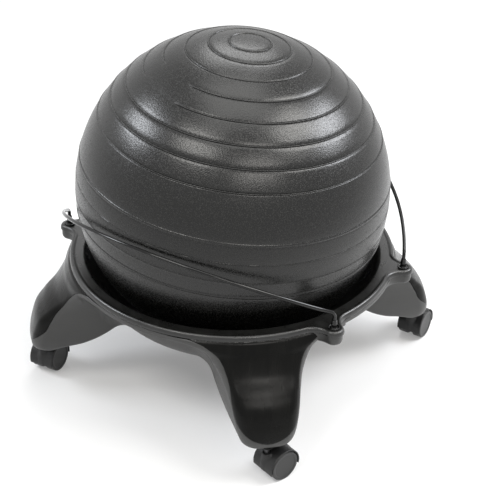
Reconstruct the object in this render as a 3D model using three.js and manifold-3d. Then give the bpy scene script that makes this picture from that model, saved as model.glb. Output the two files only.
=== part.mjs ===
// A balance ball chair: an inflated ball resting in a four-legged moulded base on twin-wheel casters,
// held at its equator by two bent steel rods. Millimetres, +Z up, front towards -Y. The origin is on
// the floor, under the middle of the base. Legs point to the four diagonals.

import * as THREE from 'three';
import { mergeVertices } from 'three/addons/utils/BufferGeometryUtils.js';
import Module from 'manifold-3d';

const wasm = await Module();
wasm.setup();

// Clearances
const partGap = 0.3; // between two pieces that touch
const turnGap = 1; // between a turning piece and what it turns past
const cutOverrun = 2; // how far a cutter runs past the face it cuts

// Ball
const ballRadius = 260;
const ballWall = 1.2;
const ballRise = 117; // its centre, above the flange's top
const ballTiltAngle = 5.9; // lean of the ribs' axis, degrees
const ballTiltBearing = 14; // direction of that lean, degrees
const valvePolarAngle = 71; // place of the valve in the ball's bare band, degrees
const valveBearing = 90;
const plugShaftRadius = 3;
const plugShaftLength = 12;
const plugHeadRadius = 5.5;
const plugHeadThickness = 1.4;

// Base: rim and bowl
const rimHeight = 228; // flat top of the flange
const flangeClearance = 16.8; // round the ball, at the flange's height
const flangeWidth = 26;
const beadHeight = 2; // raised bead along the flange's outer edge
const beadWidth = 7;
const bowlFlareWidth = 35; // steep side of the bowl, inside the flange
const seatWidth = 56; // cone that the ball rests on, from its contact circle out
const seatLipWidth = 8; // and in, to the bowl's opening
const bowlWall = 4;
const shellWall = 3.5;
const collarDepth = 12;
const seamDrop = 7; // from the flange's top down to the seam under the lip
const skirtDepth = 10; // lower shell's skirt, below the seam
const skirtFlatWidth = 24; // flat of the underside, just inside the skirt
const undersideDrop = 20; // hollow between bowl and underside, at the collar

// Base: legs and feet
const legCount = 4;
const legBearing = -45; // first leg, degrees
const legHalfWidth = 50; // at the leg's outer end
const legOverhang = 76; // of the legs' outermost points past the rim
const legFlareAngle = 9; // by which each side of a leg widens towards the middle, degrees
const footHeight = 64; // underside of the feet
const footPlate = 4;
const footLength = 35; // flat underside, from the leg's reach inwards
const footCupHeight = 19; // lower shell's cup below the leg's front panel
const legInset = 61; // from the rim to the leg's inner face, at the top

// Ears that hold the rods
const earBearing = 22.1; // each side of the X axis, degrees
const earReach = 16; // from the rim out to the rod's hole
const earEndRadius = 16.5;
const earBlendRadius = 28; // of the hollow curve between an ear and the rim
const earRootInset = 13; // from the rim in to the ear's root
const earBossInset = 2;
const earBossDepth = 17;
const earVentRadius = 1.6; // small blind hole in each boss's flank
const earVentDepth = 5;

// Retaining rods and their grommets
const rodRadius = 3;
const rodBallClearance = 4;
const rodRise = 28.5; // from the flange's top up to the bend
const rodTiltAngle = 32.2; // of the bow's plane, degrees
const rodBendLength = 8;
const rodSeatDepth = 14;
const grommetBarrelRadius = 5;
const grommetFlangeRadius = 9;
const grommetFlangeThickness = 2.4;
const grommetSleeveHeight = 14;
const grommetSleeveRadius = 4.6;
const grommetTipRadius = 4;

// Screws that join the two shells
const screwCount = 8;
const screwOffsetAngle = 9; // each side of the middle between two legs, degrees
const screwInset = 17; // from the rim
const screwShankRadius = 1.9;
const screwHeadRadius = 4.2;
const screwHeadHeight = 2.4;
const screwLength = 10;
const screwBossRadius = 4.6;

// Casters
const casterInset = 19; // swivel axis, from the leg's reach
const casterTrail = 20;
const casterTurnAngles = [-16, 3, -6, 9]; // front right, rear right, rear left, front left, degrees
const wheelRadius = 26;
const wheelWidth = 17;
const wheelEdgeRadius = 2.6;
const wheelBoreDepth = 12.5;
const axleRadius = 3;
const hoodWebHalfWidth = 4;
const hoodWall = 2;
const hoodSkirtAngle = 14; // how far the hood reaches below the axle's level at each end, degrees
const hoodBossRadius = 7.5;
const hoodBossRise = 4; // above the hood's own surface
const stemRadius = 4;
const stemGripRadius = 4.6;
const stemGripLength = 6;
const stemDepthInHood = 18;
const sleeveWall = 2.6;
const sleeveLength = 38;
const sleeveFlangeRadius = 10;
const sleeveFlangeThickness = 1.6;
const socketWall = 4;

// Sides of the round pieces and steps of the curved ones
const ballSides = 36;
const bowlSides = 40;
const casterSides = 16;
const smallSides = 8;
const legSteps = 8; // along a leg's outline and its profile
const earSteps = 5; // round an ear's end
const bowSteps = 28; // along a rod's bow
const bendSteps = 4; // round each of its bends

const radians = THREE.MathUtils.degToRad;

// Sizes that follow from those above. The base is sized round the ball.
const ballCentreHeight = rimHeight + ballRise;
const flangeInnerRadius = Math.sqrt(ballRadius ** 2 - ballRise ** 2) + flangeClearance;
const rimRadius = flangeInnerRadius + flangeWidth;
const seatOuterRadius = flangeInnerRadius - bowlFlareWidth;
const seatContactRadius = seatOuterRadius - seatWidth; // circle on which the ball rests
const bowlOpeningRadius = seatContactRadius - seatLipWidth;
const seamHeight = rimHeight - seamDrop;
const legReach = rimRadius + legOverhang; // outermost radius of a leg
const legInnerRadius = rimRadius - legInset;
const footInnerRadius = legReach - footLength;
const casterCircleRadius = legReach - casterInset;
const earHoleRadius = rimRadius + earReach;
const earRootRadius = rimRadius - earRootInset;
const screwCircleRadius = rimRadius - screwInset;

// Geometry and solids

// Revolves closed or axis-to-axis points, written as [radius, height], about Z.
function revolve(points, sides) {
  const profile = points.map(([radius, height]) => new THREE.Vector2(radius, height));
  const closed = points.some(([radius]) => radius === 0) ? profile : [...profile, profile[0]];
  const ordered = THREE.ShapeUtils.area(profile) > 0 ? closed : closed.reverse();
  const geometry = new THREE.LatheGeometry(ordered, sides);
  return geometry.rotateX(Math.PI / 2);
}

// A closed manifold solid from any closed geometry.
function solid(geometry) {
  const bare = geometry.clone();
  bare.deleteAttribute('normal');
  bare.deleteAttribute('uv');
  const merged = mergeVertices(bare);
  const index = merged.index.array;
  const corners = [];
  for (let i = 0; i < index.length; i += 3) {
    const [a, b, c] = [index[i], index[i + 1], index[i + 2]];
    if (a !== b && b !== c && c !== a) corners.push(a, b, c);
  }
  const mesh = new wasm.Mesh({
    numProp: 3,
    vertProperties: Float32Array.from(merged.attributes.position.array),
    triVerts: Uint32Array.from(corners),
  });
  return new wasm.Manifold(mesh);
}

// The geometry of a manifold solid.
function geometryOf(body) {
  const mesh = body.getMesh();
  const geometry = new THREE.BufferGeometry();
  geometry.setAttribute('position', new THREE.BufferAttribute(mesh.vertProperties, 3));
  geometry.setIndex(new THREE.BufferAttribute(mesh.triVerts, 1));
  geometry.computeVertexNormals();
  return geometry;
}

// The one real body of a cut solid, without the flat slivers that a cut along a face can leave.
function mainBody(body) {
  return body.decompose().reduce((best, piece) => (piece.volume() > best.volume() ? piece : best));
}

// An upright round bar between two heights.
function bar(radius, bottom, top, sides = smallSides) {
  return revolve([[0, bottom], [radius, bottom], [radius, top], [0, top]], sides);
}

// The corner radius of a small bore whose flats stay a gap clear of whatever turns in it.
function clearOf(radius) {
  return (radius + partGap) / Math.cos(Math.PI / smallSides);
}

// Moves a geometry out along X and turns it about Z.
function placeAround(geometry, distance, bearing) {
  return geometry.translate(distance, 0, 0).rotateZ(radians(bearing));
}

// Shifts an open line of [x, y] points sideways, to the left of its direction.
function offsetLine(points, distance) {
  return points.map(([x, y], i) => {
    const [x0, y0] = points[Math.max(i - 1, 0)];
    const [x1, y1] = points[Math.min(i + 1, points.length - 1)];
    const length = Math.hypot(x1 - x0, y1 - y0);
    return [x - (distance * (y1 - y0)) / length, y + (distance * (x1 - x0)) / length];
  });
}

// A smooth line of [x, y] points through a few chosen ones.
function smoothLine(points, count) {
  const curve = new THREE.SplineCurve(points.map(([x, y]) => new THREE.Vector2(x, y)));
  return curve.getPoints(count).map((point) => [point.x, point.y]);
}

const group = new THREE.Group();

function addMesh(parent, name, geometry, material) {
  const mesh = new THREE.Mesh(geometry, material.clone());
  mesh.name = name;
  parent.add(mesh);
  return mesh;
}

// Materials
const ballMaterial = new THREE.MeshStandardMaterial({ color: 0x2a2b2d, roughness: 0.45 });
const shellMaterial = new THREE.MeshStandardMaterial({ color: 0x222324, roughness: 0.5 });
const rodMaterial = new THREE.MeshStandardMaterial({ color: 0x101112, roughness: 0.22, metalness: 0.6 });
const rubberMaterial = new THREE.MeshStandardMaterial({ color: 0x0e0e0f, roughness: 0.6 });
const plugMaterial = new THREE.MeshStandardMaterial({ color: 0x1b1b1c, roughness: 0.5 });
const hoodMaterial = new THREE.MeshStandardMaterial({ color: 0x1c1d1e, roughness: 0.45 });
const wheelMaterial = new THREE.MeshStandardMaterial({ color: 0x3a3b3c, roughness: 0.4 });
const nylonMaterial = new THREE.MeshStandardMaterial({ color: 0x28292a, roughness: 0.5 });
const steelMaterial = new THREE.MeshStandardMaterial({ color: 0xa8abae, roughness: 0.3, metalness: 1 });

// The ball is a thin round skin with the valve's hole in its bare band.
const ballGroup = new THREE.Group();
ballGroup.position.z = ballCentreHeight;
const leanAxis = new THREE.Vector3(
  -Math.sin(radians(ballTiltBearing)),
  Math.cos(radians(ballTiltBearing)),
  0,
);
ballGroup.quaternion.setFromAxisAngle(leanAxis, radians(ballTiltAngle));
group.add(ballGroup);

function roundProfile(radius, steps) {
  return Array.from({ length: steps + 1 }, (_, i) => {
    const polar = (Math.PI * i) / steps;
    const across = i === 0 || i === steps ? 0 : radius * Math.sin(polar);
    return [across, -radius * Math.cos(polar)];
  });
}

// Stands a geometry built along +Z on the ball's surface, at the valve.
function placeOnBall(geometry) {
  return geometry.rotateY(radians(valvePolarAngle)).rotateZ(radians(valveBearing));
}

const ballSkin = revolve(roundProfile(ballRadius, ballSides / 2), ballSides);
const ballAir = revolve(roundProfile(ballRadius - ballWall, ballSides / 2), ballSides);
const valveHoleRadius = plugShaftRadius + partGap;
const valveHole = placeOnBall(
  bar(valveHoleRadius, ballRadius - plugShaftLength, ballRadius + cutOverrun),
);
addMesh(
  ballGroup,
  'ball',
  geometryOf(solid(ballSkin).subtract(solid(ballAir)).subtract(solid(valveHole))),
  ballMaterial,
);

const plugTop = ballRadius + partGap + plugHeadThickness;
const plug = revolve(
  [
    [0, plugTop - plugHeadThickness - plugShaftLength],
    [plugShaftRadius, plugTop - plugHeadThickness - plugShaftLength + plugShaftRadius],
    [plugShaftRadius, plugTop - plugHeadThickness],
    [plugHeadRadius, plugTop - plugHeadThickness],
    [plugHeadRadius - plugHeadThickness, plugTop],
    [0, plugTop],
  ],
  smallSides,
);
addMesh(ballGroup, 'valve_plug', placeOnBall(plug), plugMaterial);

// Outer outline of a leg, seen from its end: half width against height, as shares of the leg's
// half width and of the height from foot to seam.
const legOutlineShares = [
  [0.38, 0],
  [0.66, 0.045],
  [0.84, 0.17],
  [0.93, 0.31],
  [0.96, 0.46],
  [1.01, 0.61],
  [1.11, 0.74],
  [1.27, 0.86],
  [1.45, 0.94],
  [1.71, 1],
];
const legRise = seamHeight - footHeight;
const legOutline = smoothLine(
  legOutlineShares.map(([across, up]) => [legHalfWidth * across, footHeight + legRise * up]),
  legSteps,
);

// Outer profile of a leg, seen from its side: how far it reaches out, as a share of the way from the
// rim to the leg's full reach, against the share of the same height.
const legReachShares = [
  [0.74, 0],
  [0.9, 0.025],
  [0.98, 0.07],
  [1.0, 0.13],
  [0.985, 0.21],
  [0.93, 0.31],
  [0.84, 0.41],
  [0.62, 0.535],
  [0.34, 0.7],
  [0.17, 0.845],
  [0.06, 0.95],
  [0, 1.02],
];
const legProfile = smoothLine(
  legReachShares.map(([out, up]) => [
    rimRadius + (legReach - rimRadius) * out,
    footHeight + legRise * up,
  ]),
  legSteps,
);

// Inner profile of a leg: as a share of the way from the leg's inner face to the inner end of the
// foot's flat, against the share of the same height.
const legInnerShares = [
  [1, 0],
  [0.93, 0.04],
  [0.72, 0.085],
  [0.52, 0.13],
  [0.33, 0.22],
  [0.17, 0.38],
  [0.06, 0.62],
  [0, 1],
];
const legInnerProfile = legInnerShares.map(([out, up]) => [
  legInnerRadius + (footInnerRadius - legInnerRadius) * out,
  footHeight + legRise * up,
]);

// Fills a line of [radius, height] points, written upwards, in to the axis.
function filledRound(line, below = 0, above = 0) {
  const [firstRadius, firstHeight] = line[0];
  const [lastRadius, lastHeight] = line[line.length - 1];
  return solid(
    revolve(
      [
        [0, firstHeight - below],
        [firstRadius, firstHeight - below],
        ...line,
        [lastRadius, lastHeight + above],
        [0, lastHeight + above],
      ],
      bowlSides,
    ),
  );
}

// A bar with the outline of the leg, grown or shrunk sideways, running out along one leg and
// narrowing on its way.
function legBar(grow, bearing, startRadius, bottom) {
  const side = offsetLine(legOutline, -grow).map(([across, up]) => [Math.max(across, 0), up]);
  side[0][1] = bottom;
  const [topAcross, topUp] = side[side.length - 1];
  const reachAbove = topUp + cutOverrun * 2;
  const right = [...side, [topAcross, reachAbove]];
  const left = right.map(([across, up]) => [-across, up]).reverse();
  const shape = new THREE.Shape([...right, ...left].map(([x, y]) => new THREE.Vector2(x, y)));
  const geometry = new THREE.ExtrudeGeometry(shape, {
    depth: legReach + cutOverrun - startRadius,
    bevelEnabled: false,
  });
  const flare = Math.tan(radians(legFlareAngle)) / legHalfWidth;
  const corners = geometry.attributes.position;
  for (let i = 0; i < corners.count; i += 1) {
    const inward = legReach - startRadius - corners.getZ(i);
    corners.setX(i, corners.getX(i) * (1 + flare * inward));
  }
  const across = new THREE.Vector3(0, 1, 0);
  const up = new THREE.Vector3(0, 0, 1);
  const out = new THREE.Vector3(1, 0, 0);
  geometry.applyMatrix4(new THREE.Matrix4().makeBasis(across, up, out));
  return solid(placeAround(geometry, startRadius, bearing));
}

function legBearings() {
  return Array.from({ length: legCount }, (_, i) => legBearing + (360 / legCount) * i);
}

const earBearings = [-earBearing, earBearing, 180 - earBearing, 180 + earBearing];

// An ear's plan: a round end about the rod's hole, joined to the rim by a hollow curve on each side.
function earBlock(inset, bottom, top, bearing) {
  const end = earEndRadius - inset;
  const blend = earBlendRadius + inset;
  const rim = (rimRadius - inset) * Math.cos(Math.PI / bowlSides);
  const across = (rim + blend) ** 2 + earHoleRadius ** 2 - (end + blend) ** 2;
  const blendBearing = Math.acos(across / (2 * (rim + blend) * earHoleRadius));
  const blendX = (rim + blend) * Math.cos(blendBearing);
  const blendY = (rim + blend) * Math.sin(blendBearing);
  const endTurn = Math.atan2(blendY, blendX - earHoleRadius);
  const rootRadius = earRootRadius - inset;
  const shape = new THREE.Shape();
  shape.moveTo(rootRadius, -rim * Math.sin(blendBearing));
  shape.absarc(blendX, -blendY, blend, Math.PI - blendBearing, Math.PI - endTurn, true);
  shape.absarc(earHoleRadius, 0, end, -endTurn, endTurn, false);
  shape.absarc(blendX, blendY, blend, Math.PI + endTurn, Math.PI + blendBearing, true);
  shape.lineTo(rootRadius, rim * Math.sin(blendBearing));
  const geometry = new THREE.ExtrudeGeometry(shape, {
    depth: top - bottom,
    bevelEnabled: false,
    curveSegments: earSteps,
  });
  return solid(geometry.translate(0, 0, bottom).rotateZ(radians(bearing)));
}

// The rest circle of the ball: the bowl's seat is a cone that touches it there.
const seatSlope = Math.asin(seatContactRadius / ballRadius);
const seatDistance = ballRadius / Math.cos(Math.PI / bowlSides) + partGap;
const seatContactHeight = ballCentreHeight - seatDistance * Math.cos(seatSlope);
const seatHeightAt = (radius) => seatContactHeight + (radius - seatContactRadius) * Math.tan(seatSlope);

// Upper shell: bowl, flange, bead and lip, with the fronts of the legs and the tops of the ears.
const bowlTopDrop = rimHeight - seatHeightAt(seatOuterRadius);
const bowlFlare = flangeInnerRadius - seatOuterRadius;
const bowlInside = [
  [bowlOpeningRadius, seatHeightAt(bowlOpeningRadius)],
  [seatOuterRadius, seatHeightAt(seatOuterRadius)],
  [seatOuterRadius + bowlFlare * 0.5, rimHeight - bowlTopDrop * 0.63],
  [seatOuterRadius + bowlFlare * 0.8, rimHeight - bowlTopDrop * 0.34],
  [seatOuterRadius + bowlFlare * 0.94, rimHeight - bowlTopDrop * 0.1],
  [flangeInnerRadius + beadHeight, rimHeight],
];
const bowlOutside = offsetLine(bowlInside.slice(0, 5), -bowlWall);
const bowlSection = [
  ...bowlInside,
  [rimRadius - beadWidth, rimHeight],
  [rimRadius - beadWidth * 0.65, rimHeight + beadHeight * 0.8],
  [rimRadius - beadWidth * 0.35, rimHeight + beadHeight],
  [rimRadius - beadWidth * 0.08, rimHeight + beadHeight * 0.25],
  [rimRadius, rimHeight - bowlWall * 0.6],
  [rimRadius, seamHeight + partGap],
  [rimRadius - shellWall, seamHeight + partGap],
  [rimRadius - shellWall, rimHeight - bowlWall],
  [bowlOutside[4][0] + bowlWall * 0.75, rimHeight - bowlWall],
  ...bowlOutside.slice(1).reverse(),
  [bowlOpeningRadius + shellWall, bowlOutside[0][1]],
  [bowlOpeningRadius + shellWall, seatHeightAt(bowlOpeningRadius) - collarDepth],
  [bowlOpeningRadius, seatHeightAt(bowlOpeningRadius) - collarDepth],
];

const legFilled = filledRound(legProfile, cutOverrun, 0);
const legSkinInside = filledRound(offsetLine(legProfile, shellWall), cutOverrun * 2, cutOverrun * 2);
const legPanelRing = legFilled.subtract(legSkinInside);
const behindPanel = filledRound(
  offsetLine(legProfile, shellWall + partGap),
  cutOverrun * 2,
  cutOverrun * 2,
);
const panelFoot = footHeight + footCupHeight;

// A round slab wider than the legs' reach, to cut away everything between two heights.
const slab = (bottom, top) => solid(bar(legReach + cutOverrun, bottom, top, bowlSides));

const earHole = (bearing, bottom) =>
  solid(placeAround(
    bar(grommetBarrelRadius + partGap, bottom, rimHeight + beadHeight + cutOverrun),
    earHoleRadius,
    bearing,
  ));
const rodEndHeight = rimHeight - rodSeatDepth;

// The air above the flange's flat, inside the bead.
const flangeAir = solid(
  bar(rimRadius - beadWidth, rimHeight, rimHeight + beadHeight + cutOverrun, bowlSides),
);

const screwBearings = Array.from({ length: screwCount }, (_, i) => {
  const side = i % 2 === 0 ? -1 : 1;
  return (360 / legCount) * Math.floor(i / 2) + side * screwOffsetAngle;
});
const undersideHeight = seamHeight - skirtDepth;
const screwSeatTop = undersideHeight + shellWall;
const screwShank = (radius, bottom, top, bearing) =>
  placeAround(bar(radius, bottom, top), screwCircleRadius, bearing);

function upperShell() {
  let shell = solid(revolve(bowlSection, bowlSides));
  for (const bearing of legBearings()) {
    const panel = legPanelRing.intersect(legBar(0, bearing, rimRadius / 2, footHeight));
    shell = shell.add(panel.subtract(slab(footHeight - cutOverrun * 2, panelFoot)));
  }
  for (const bearing of earBearings) {
    // The bead leaves the rim and runs round the ear's edge.
    const flatTop = earBlock(beadWidth, rimHeight, rimHeight + beadHeight + cutOverrun, bearing);
    shell = shell.add(earBlock(0, seamHeight + partGap, rimHeight, bearing));
    shell = shell.add(earBlock(beadWidth * 0.1, rimHeight - beadHeight, rimHeight + beadHeight * 0.8, bearing));
    shell = shell.subtract(flatTop).subtract(flangeAir);
    shell = shell.subtract(earHole(bearing, rodEndHeight - partGap));
  }
  for (const bearing of screwBearings) {
    const boss = screwShank(screwBossRadius, screwSeatTop + partGap, rimHeight - bowlWall / 2, bearing);
    shell = shell.add(solid(boss));
    const bore = screwShank(
      screwShankRadius + partGap,
      screwSeatTop - cutOverrun,
      undersideHeight + screwLength + partGap,
      bearing,
    );
    shell = shell.subtract(solid(bore));
  }
  return shell;
}

// Lower shell: the underside, the skirt, the sides and soles of the legs, and the ears' bosses.
const collarOuterRadius = bowlOpeningRadius + shellWall + partGap + shellWall;
const collarBottom = seatHeightAt(bowlOpeningRadius) - undersideDrop;
const flatInnerRadius = rimRadius - skirtFlatWidth;
const undersideRise = undersideHeight - collarBottom;
const undersideRun = flatInnerRadius - collarOuterRadius;
const undersideLine = [
  [collarOuterRadius, collarBottom],
  [collarOuterRadius + undersideRun * 0.3, collarBottom + undersideRise * 0.19],
  [collarOuterRadius + undersideRun * 0.6, collarBottom + undersideRise * 0.45],
  [collarOuterRadius + undersideRun * 0.83, collarBottom + undersideRise * 0.76],
  [flatInnerRadius, undersideHeight],
];
const hollowLine = offsetLine(undersideLine, shellWall);
hollowLine[0] = [collarOuterRadius, collarBottom + shellWall];
hollowLine[4] = [flatInnerRadius, screwSeatTop];

const undersideSection = [
  [bowlOpeningRadius + shellWall + partGap, collarBottom],
  ...undersideLine,
  [rimRadius - shellWall, undersideHeight],
  [rimRadius, undersideHeight + shellWall],
  [rimRadius, seamHeight],
  [rimRadius - shellWall, seamHeight],
  [rimRadius - shellWall, screwSeatTop],
  ...hollowLine.slice().reverse(),
  [collarOuterRadius, seatHeightAt(bowlOpeningRadius) - bowlWall * 2],
  [bowlOpeningRadius + shellWall + partGap, seatHeightAt(bowlOpeningRadius) - bowlWall * 2],
];
const hollowAbove = [
  [collarOuterRadius, rimHeight + cutOverrun],
  ...hollowLine,
  [rimRadius - shellWall, screwSeatTop],
  [rimRadius - shellWall, rimHeight + cutOverrun],
];

const legInnerAir = filledRound(legInnerProfile, cutOverrun * 2, cutOverrun * 4);
const legInnerWall = filledRound(
  offsetLine(legInnerProfile, -shellWall),
  cutOverrun * 2,
  cutOverrun * 4,
);
const socketRadius = stemGripRadius + partGap + sleeveWall;

const legRoom = (bearing) =>
  legBar(-shellWall, bearing, bowlOpeningRadius, footHeight + footPlate)
    .intersect(legSkinInside)
    .subtract(legInnerWall);

function lowerLeg(bearing) {
  const outside = legBar(0, bearing, bowlOpeningRadius, footHeight).intersect(legFilled);
  let leg = outside.subtract(legInnerAir).subtract(legRoom(bearing));
  const socketTop = footHeight + sleeveLength;
  const socket = placeAround(
    bar(socketRadius + partGap + socketWall, footHeight, socketTop),
    casterCircleRadius,
    bearing,
  );
  leg = leg.add(solid(socket).intersect(legFilled));
  const bore = placeAround(
    bar(socketRadius + partGap, footHeight - cutOverrun, socketTop + cutOverrun),
    casterCircleRadius,
    bearing,
  );
  return leg.subtract(solid(bore)).subtract(slab(seamHeight, seamHeight + legRise));
}

function lowerShell() {
  let shell = solid(revolve(undersideSection, bowlSides));
  for (const bearing of legBearings()) {
    shell = shell.subtract(legRoom(bearing));
  }
  for (const bearing of earBearings) {
    shell = shell.add(
      earBlock(earBossInset, seamHeight - earBossDepth, seamHeight, bearing),
    );
    shell = shell.subtract(earHole(bearing, rodEndHeight - partGap));
    const side = Math.cos(radians(bearing)) * Math.sin(radians(bearing)) > 0 ? -1 : 1;
    const vent = bar(earVentRadius, 0, earVentDepth + cutOverrun)
      .rotateX((side * Math.PI) / 2)
      .translate(0, -side * (earEndRadius - earBossInset - earVentDepth), seamHeight - earBossDepth / 2);
    shell = shell.subtract(solid(placeAround(vent, earHoleRadius, bearing)));
  }
  for (const bearing of legBearings()) {
    const leg = lowerLeg(bearing);
    shell = shell.add(leg.subtract(solid(revolve(hollowAbove, bowlSides))));
    const panelRoom = legBar(partGap, bearing, rimRadius / 2, footHeight - cutOverrun)
      .subtract(behindPanel)
      .subtract(slab(footHeight - cutOverrun * 2, panelFoot - partGap));
    shell = shell.subtract(panelRoom);
  }
  for (const bearing of screwBearings) {
    const bore = screwShank(
      screwShankRadius + partGap,
      undersideHeight - cutOverrun,
      screwSeatTop + cutOverrun,
      bearing,
    );
    shell = shell.subtract(solid(bore));
  }
  return shell;
}

addMesh(group, 'base_upper_shell', geometryOf(mainBody(upperShell())), shellMaterial);
addMesh(group, 'base_lower_shell', geometryOf(mainBody(lowerShell())), shellMaterial);

// Screws, driven up through the underside into the upper shell's bosses.
const screwHeadTop = undersideHeight - partGap;
screwBearings.forEach((bearing, i) => {
  const profile = [
    [0, screwHeadTop - screwHeadHeight],
    [screwHeadRadius * 0.7, screwHeadTop - screwHeadHeight],
    [screwHeadRadius, screwHeadTop - screwHeadHeight * 0.5],
    [screwHeadRadius, screwHeadTop],
    [screwShankRadius, screwHeadTop],
    [screwShankRadius, screwHeadTop + screwLength],
    [0, screwHeadTop + screwLength],
  ];
  const screw = placeAround(revolve(profile, smallSides), screwCircleRadius, bearing);
  addMesh(group, `shell_screw_${i + 1}`, screw, steelMaterial);
});

// The rod rises from one ear, bends into a flat bow round the ball and drops into the next ear. The
// bow is an arc in plan through both ears, and its plane leans up and out from them.
class RodPath extends THREE.Curve {
  constructor(side) {
    super();
    const earX = earHoleRadius * Math.cos(radians(earBearing));
    const earY = earHoleRadius * Math.sin(radians(earBearing));
    const reach = ballRadius + rodBallClearance + rodRadius;
    const centreY = (reach ** 2 - earHoleRadius ** 2) / (2 * (earY - reach));
    const arcRadius = reach + centreY;
    const startAngle = Math.atan2(earY + centreY, earX);
    const bendAngle = rodBendLength / arcRadius;
    const bowHeight = rimHeight + rodRise;
    const slope = Math.tan(radians(rodTiltAngle));
    const onBow = (angle) => {
      const x = arcRadius * Math.cos(angle);
      const y = arcRadius * Math.sin(angle) - centreY;
      return new THREE.Vector3(x, side * y, bowHeight + slope * (y - earY));
    };
    const bowStart = startAngle + bendAngle;
    const bowEnd = Math.PI - bowStart;
    const foot = (x) => new THREE.Vector3(x, side * earY, rodEndHeight);
    const below = (x) => new THREE.Vector3(x, side * earY, bowHeight - rodBendLength);
    const corner = (x) => new THREE.Vector3(x, side * earY, bowHeight);
    // Each stretch has a point for a share of its own and the number of steps it is drawn in.
    const rise = new THREE.LineCurve3(foot(earX), below(earX));
    const firstBend = new THREE.QuadraticBezierCurve3(below(earX), corner(earX), onBow(bowStart));
    const lastBend = new THREE.QuadraticBezierCurve3(onBow(bowEnd), corner(-earX), below(-earX));
    const drop = new THREE.LineCurve3(below(-earX), foot(-earX));
    this.stretches = [
      [1, (share) => rise.getPoint(share)],
      [bendSteps, (share) => firstBend.getPoint(share)],
      [bowSteps, (share) => onBow(bowStart + (bowEnd - bowStart) * share)],
      [bendSteps, (share) => lastBend.getPoint(share)],
      [1, (share) => drop.getPoint(share)],
    ];
    this.steps = this.stretches.reduce((sum, [steps]) => sum + steps, 0);
  }

  getPoint(share) {
    let step = share * this.steps;
    for (const [steps, pointAt] of this.stretches) {
      if (step <= steps) return pointAt(step / steps);
      step -= steps;
    }
    const [, pointAt] = this.stretches[this.stretches.length - 1];
    return pointAt(1);
  }

  // Steps follow the stretches, so the tight bends get more of them than the bow.
  getUtoTmapping(share) {
    return share;
  }
}

function rod(side) {
  const path = new RodPath(side);
  const section = new THREE.Shape();
  section.absarc(0, 0, rodRadius, 0, Math.PI * 2, false);
  return new THREE.ExtrudeGeometry(section, {
    steps: path.steps,
    extrudePath: path,
    curveSegments: 4,
  });
}

addMesh(group, 'front_retaining_rod', geometryOf(solid(rod(-1))), rodMaterial);
addMesh(group, 'rear_retaining_rod', geometryOf(solid(rod(1))), rodMaterial);

// Grommets: a barrel in the ear, a flange on it and a tapered sleeve up the rod.
const grommetBore = clearOf(rodRadius);
const flangeBottom = rimHeight + partGap;
const flangeTop = flangeBottom + grommetFlangeThickness;
const grommetProfile = [
  [grommetBore, rodEndHeight],
  [grommetBarrelRadius, rodEndHeight],
  [grommetBarrelRadius, flangeBottom],
  [grommetFlangeRadius, flangeBottom],
  [grommetFlangeRadius, flangeTop],
  [grommetSleeveRadius, flangeTop],
  [grommetTipRadius, flangeTop + grommetSleeveHeight],
  [grommetBore, flangeTop + grommetSleeveHeight],
];
const earNames = ['front_right', 'rear_right', 'rear_left', 'front_left'];
earBearings.forEach((bearing, i) => {
  const grommet = placeAround(revolve(grommetProfile, smallSides), earHoleRadius, bearing);
  addMesh(group, `rod_grommet_${earNames[i]}`, grommet, rubberMaterial);
});

// Casters
const axleHeight = wheelRadius * Math.cos(Math.PI / casterSides);
const hoodInnerRadius = wheelRadius + turnGap;
const hoodOuterRadius = hoodInnerRadius + hoodWall;
const wheelInner = hoodWebHalfWidth + turnGap;
const wheelOuter = wheelInner + wheelWidth;
const hoodHalfWidth = wheelOuter + partGap;
const hoodTopAtStem = axleHeight + Math.sqrt(hoodOuterRadius ** 2 - casterTrail ** 2);
const hoodBossTop = hoodTopAtStem + hoodBossRise;

// Lays a geometry built along Z down along X.
const layDown = (geometry) => geometry.rotateZ(Math.PI / casterSides).rotateY(Math.PI / 2);

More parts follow.
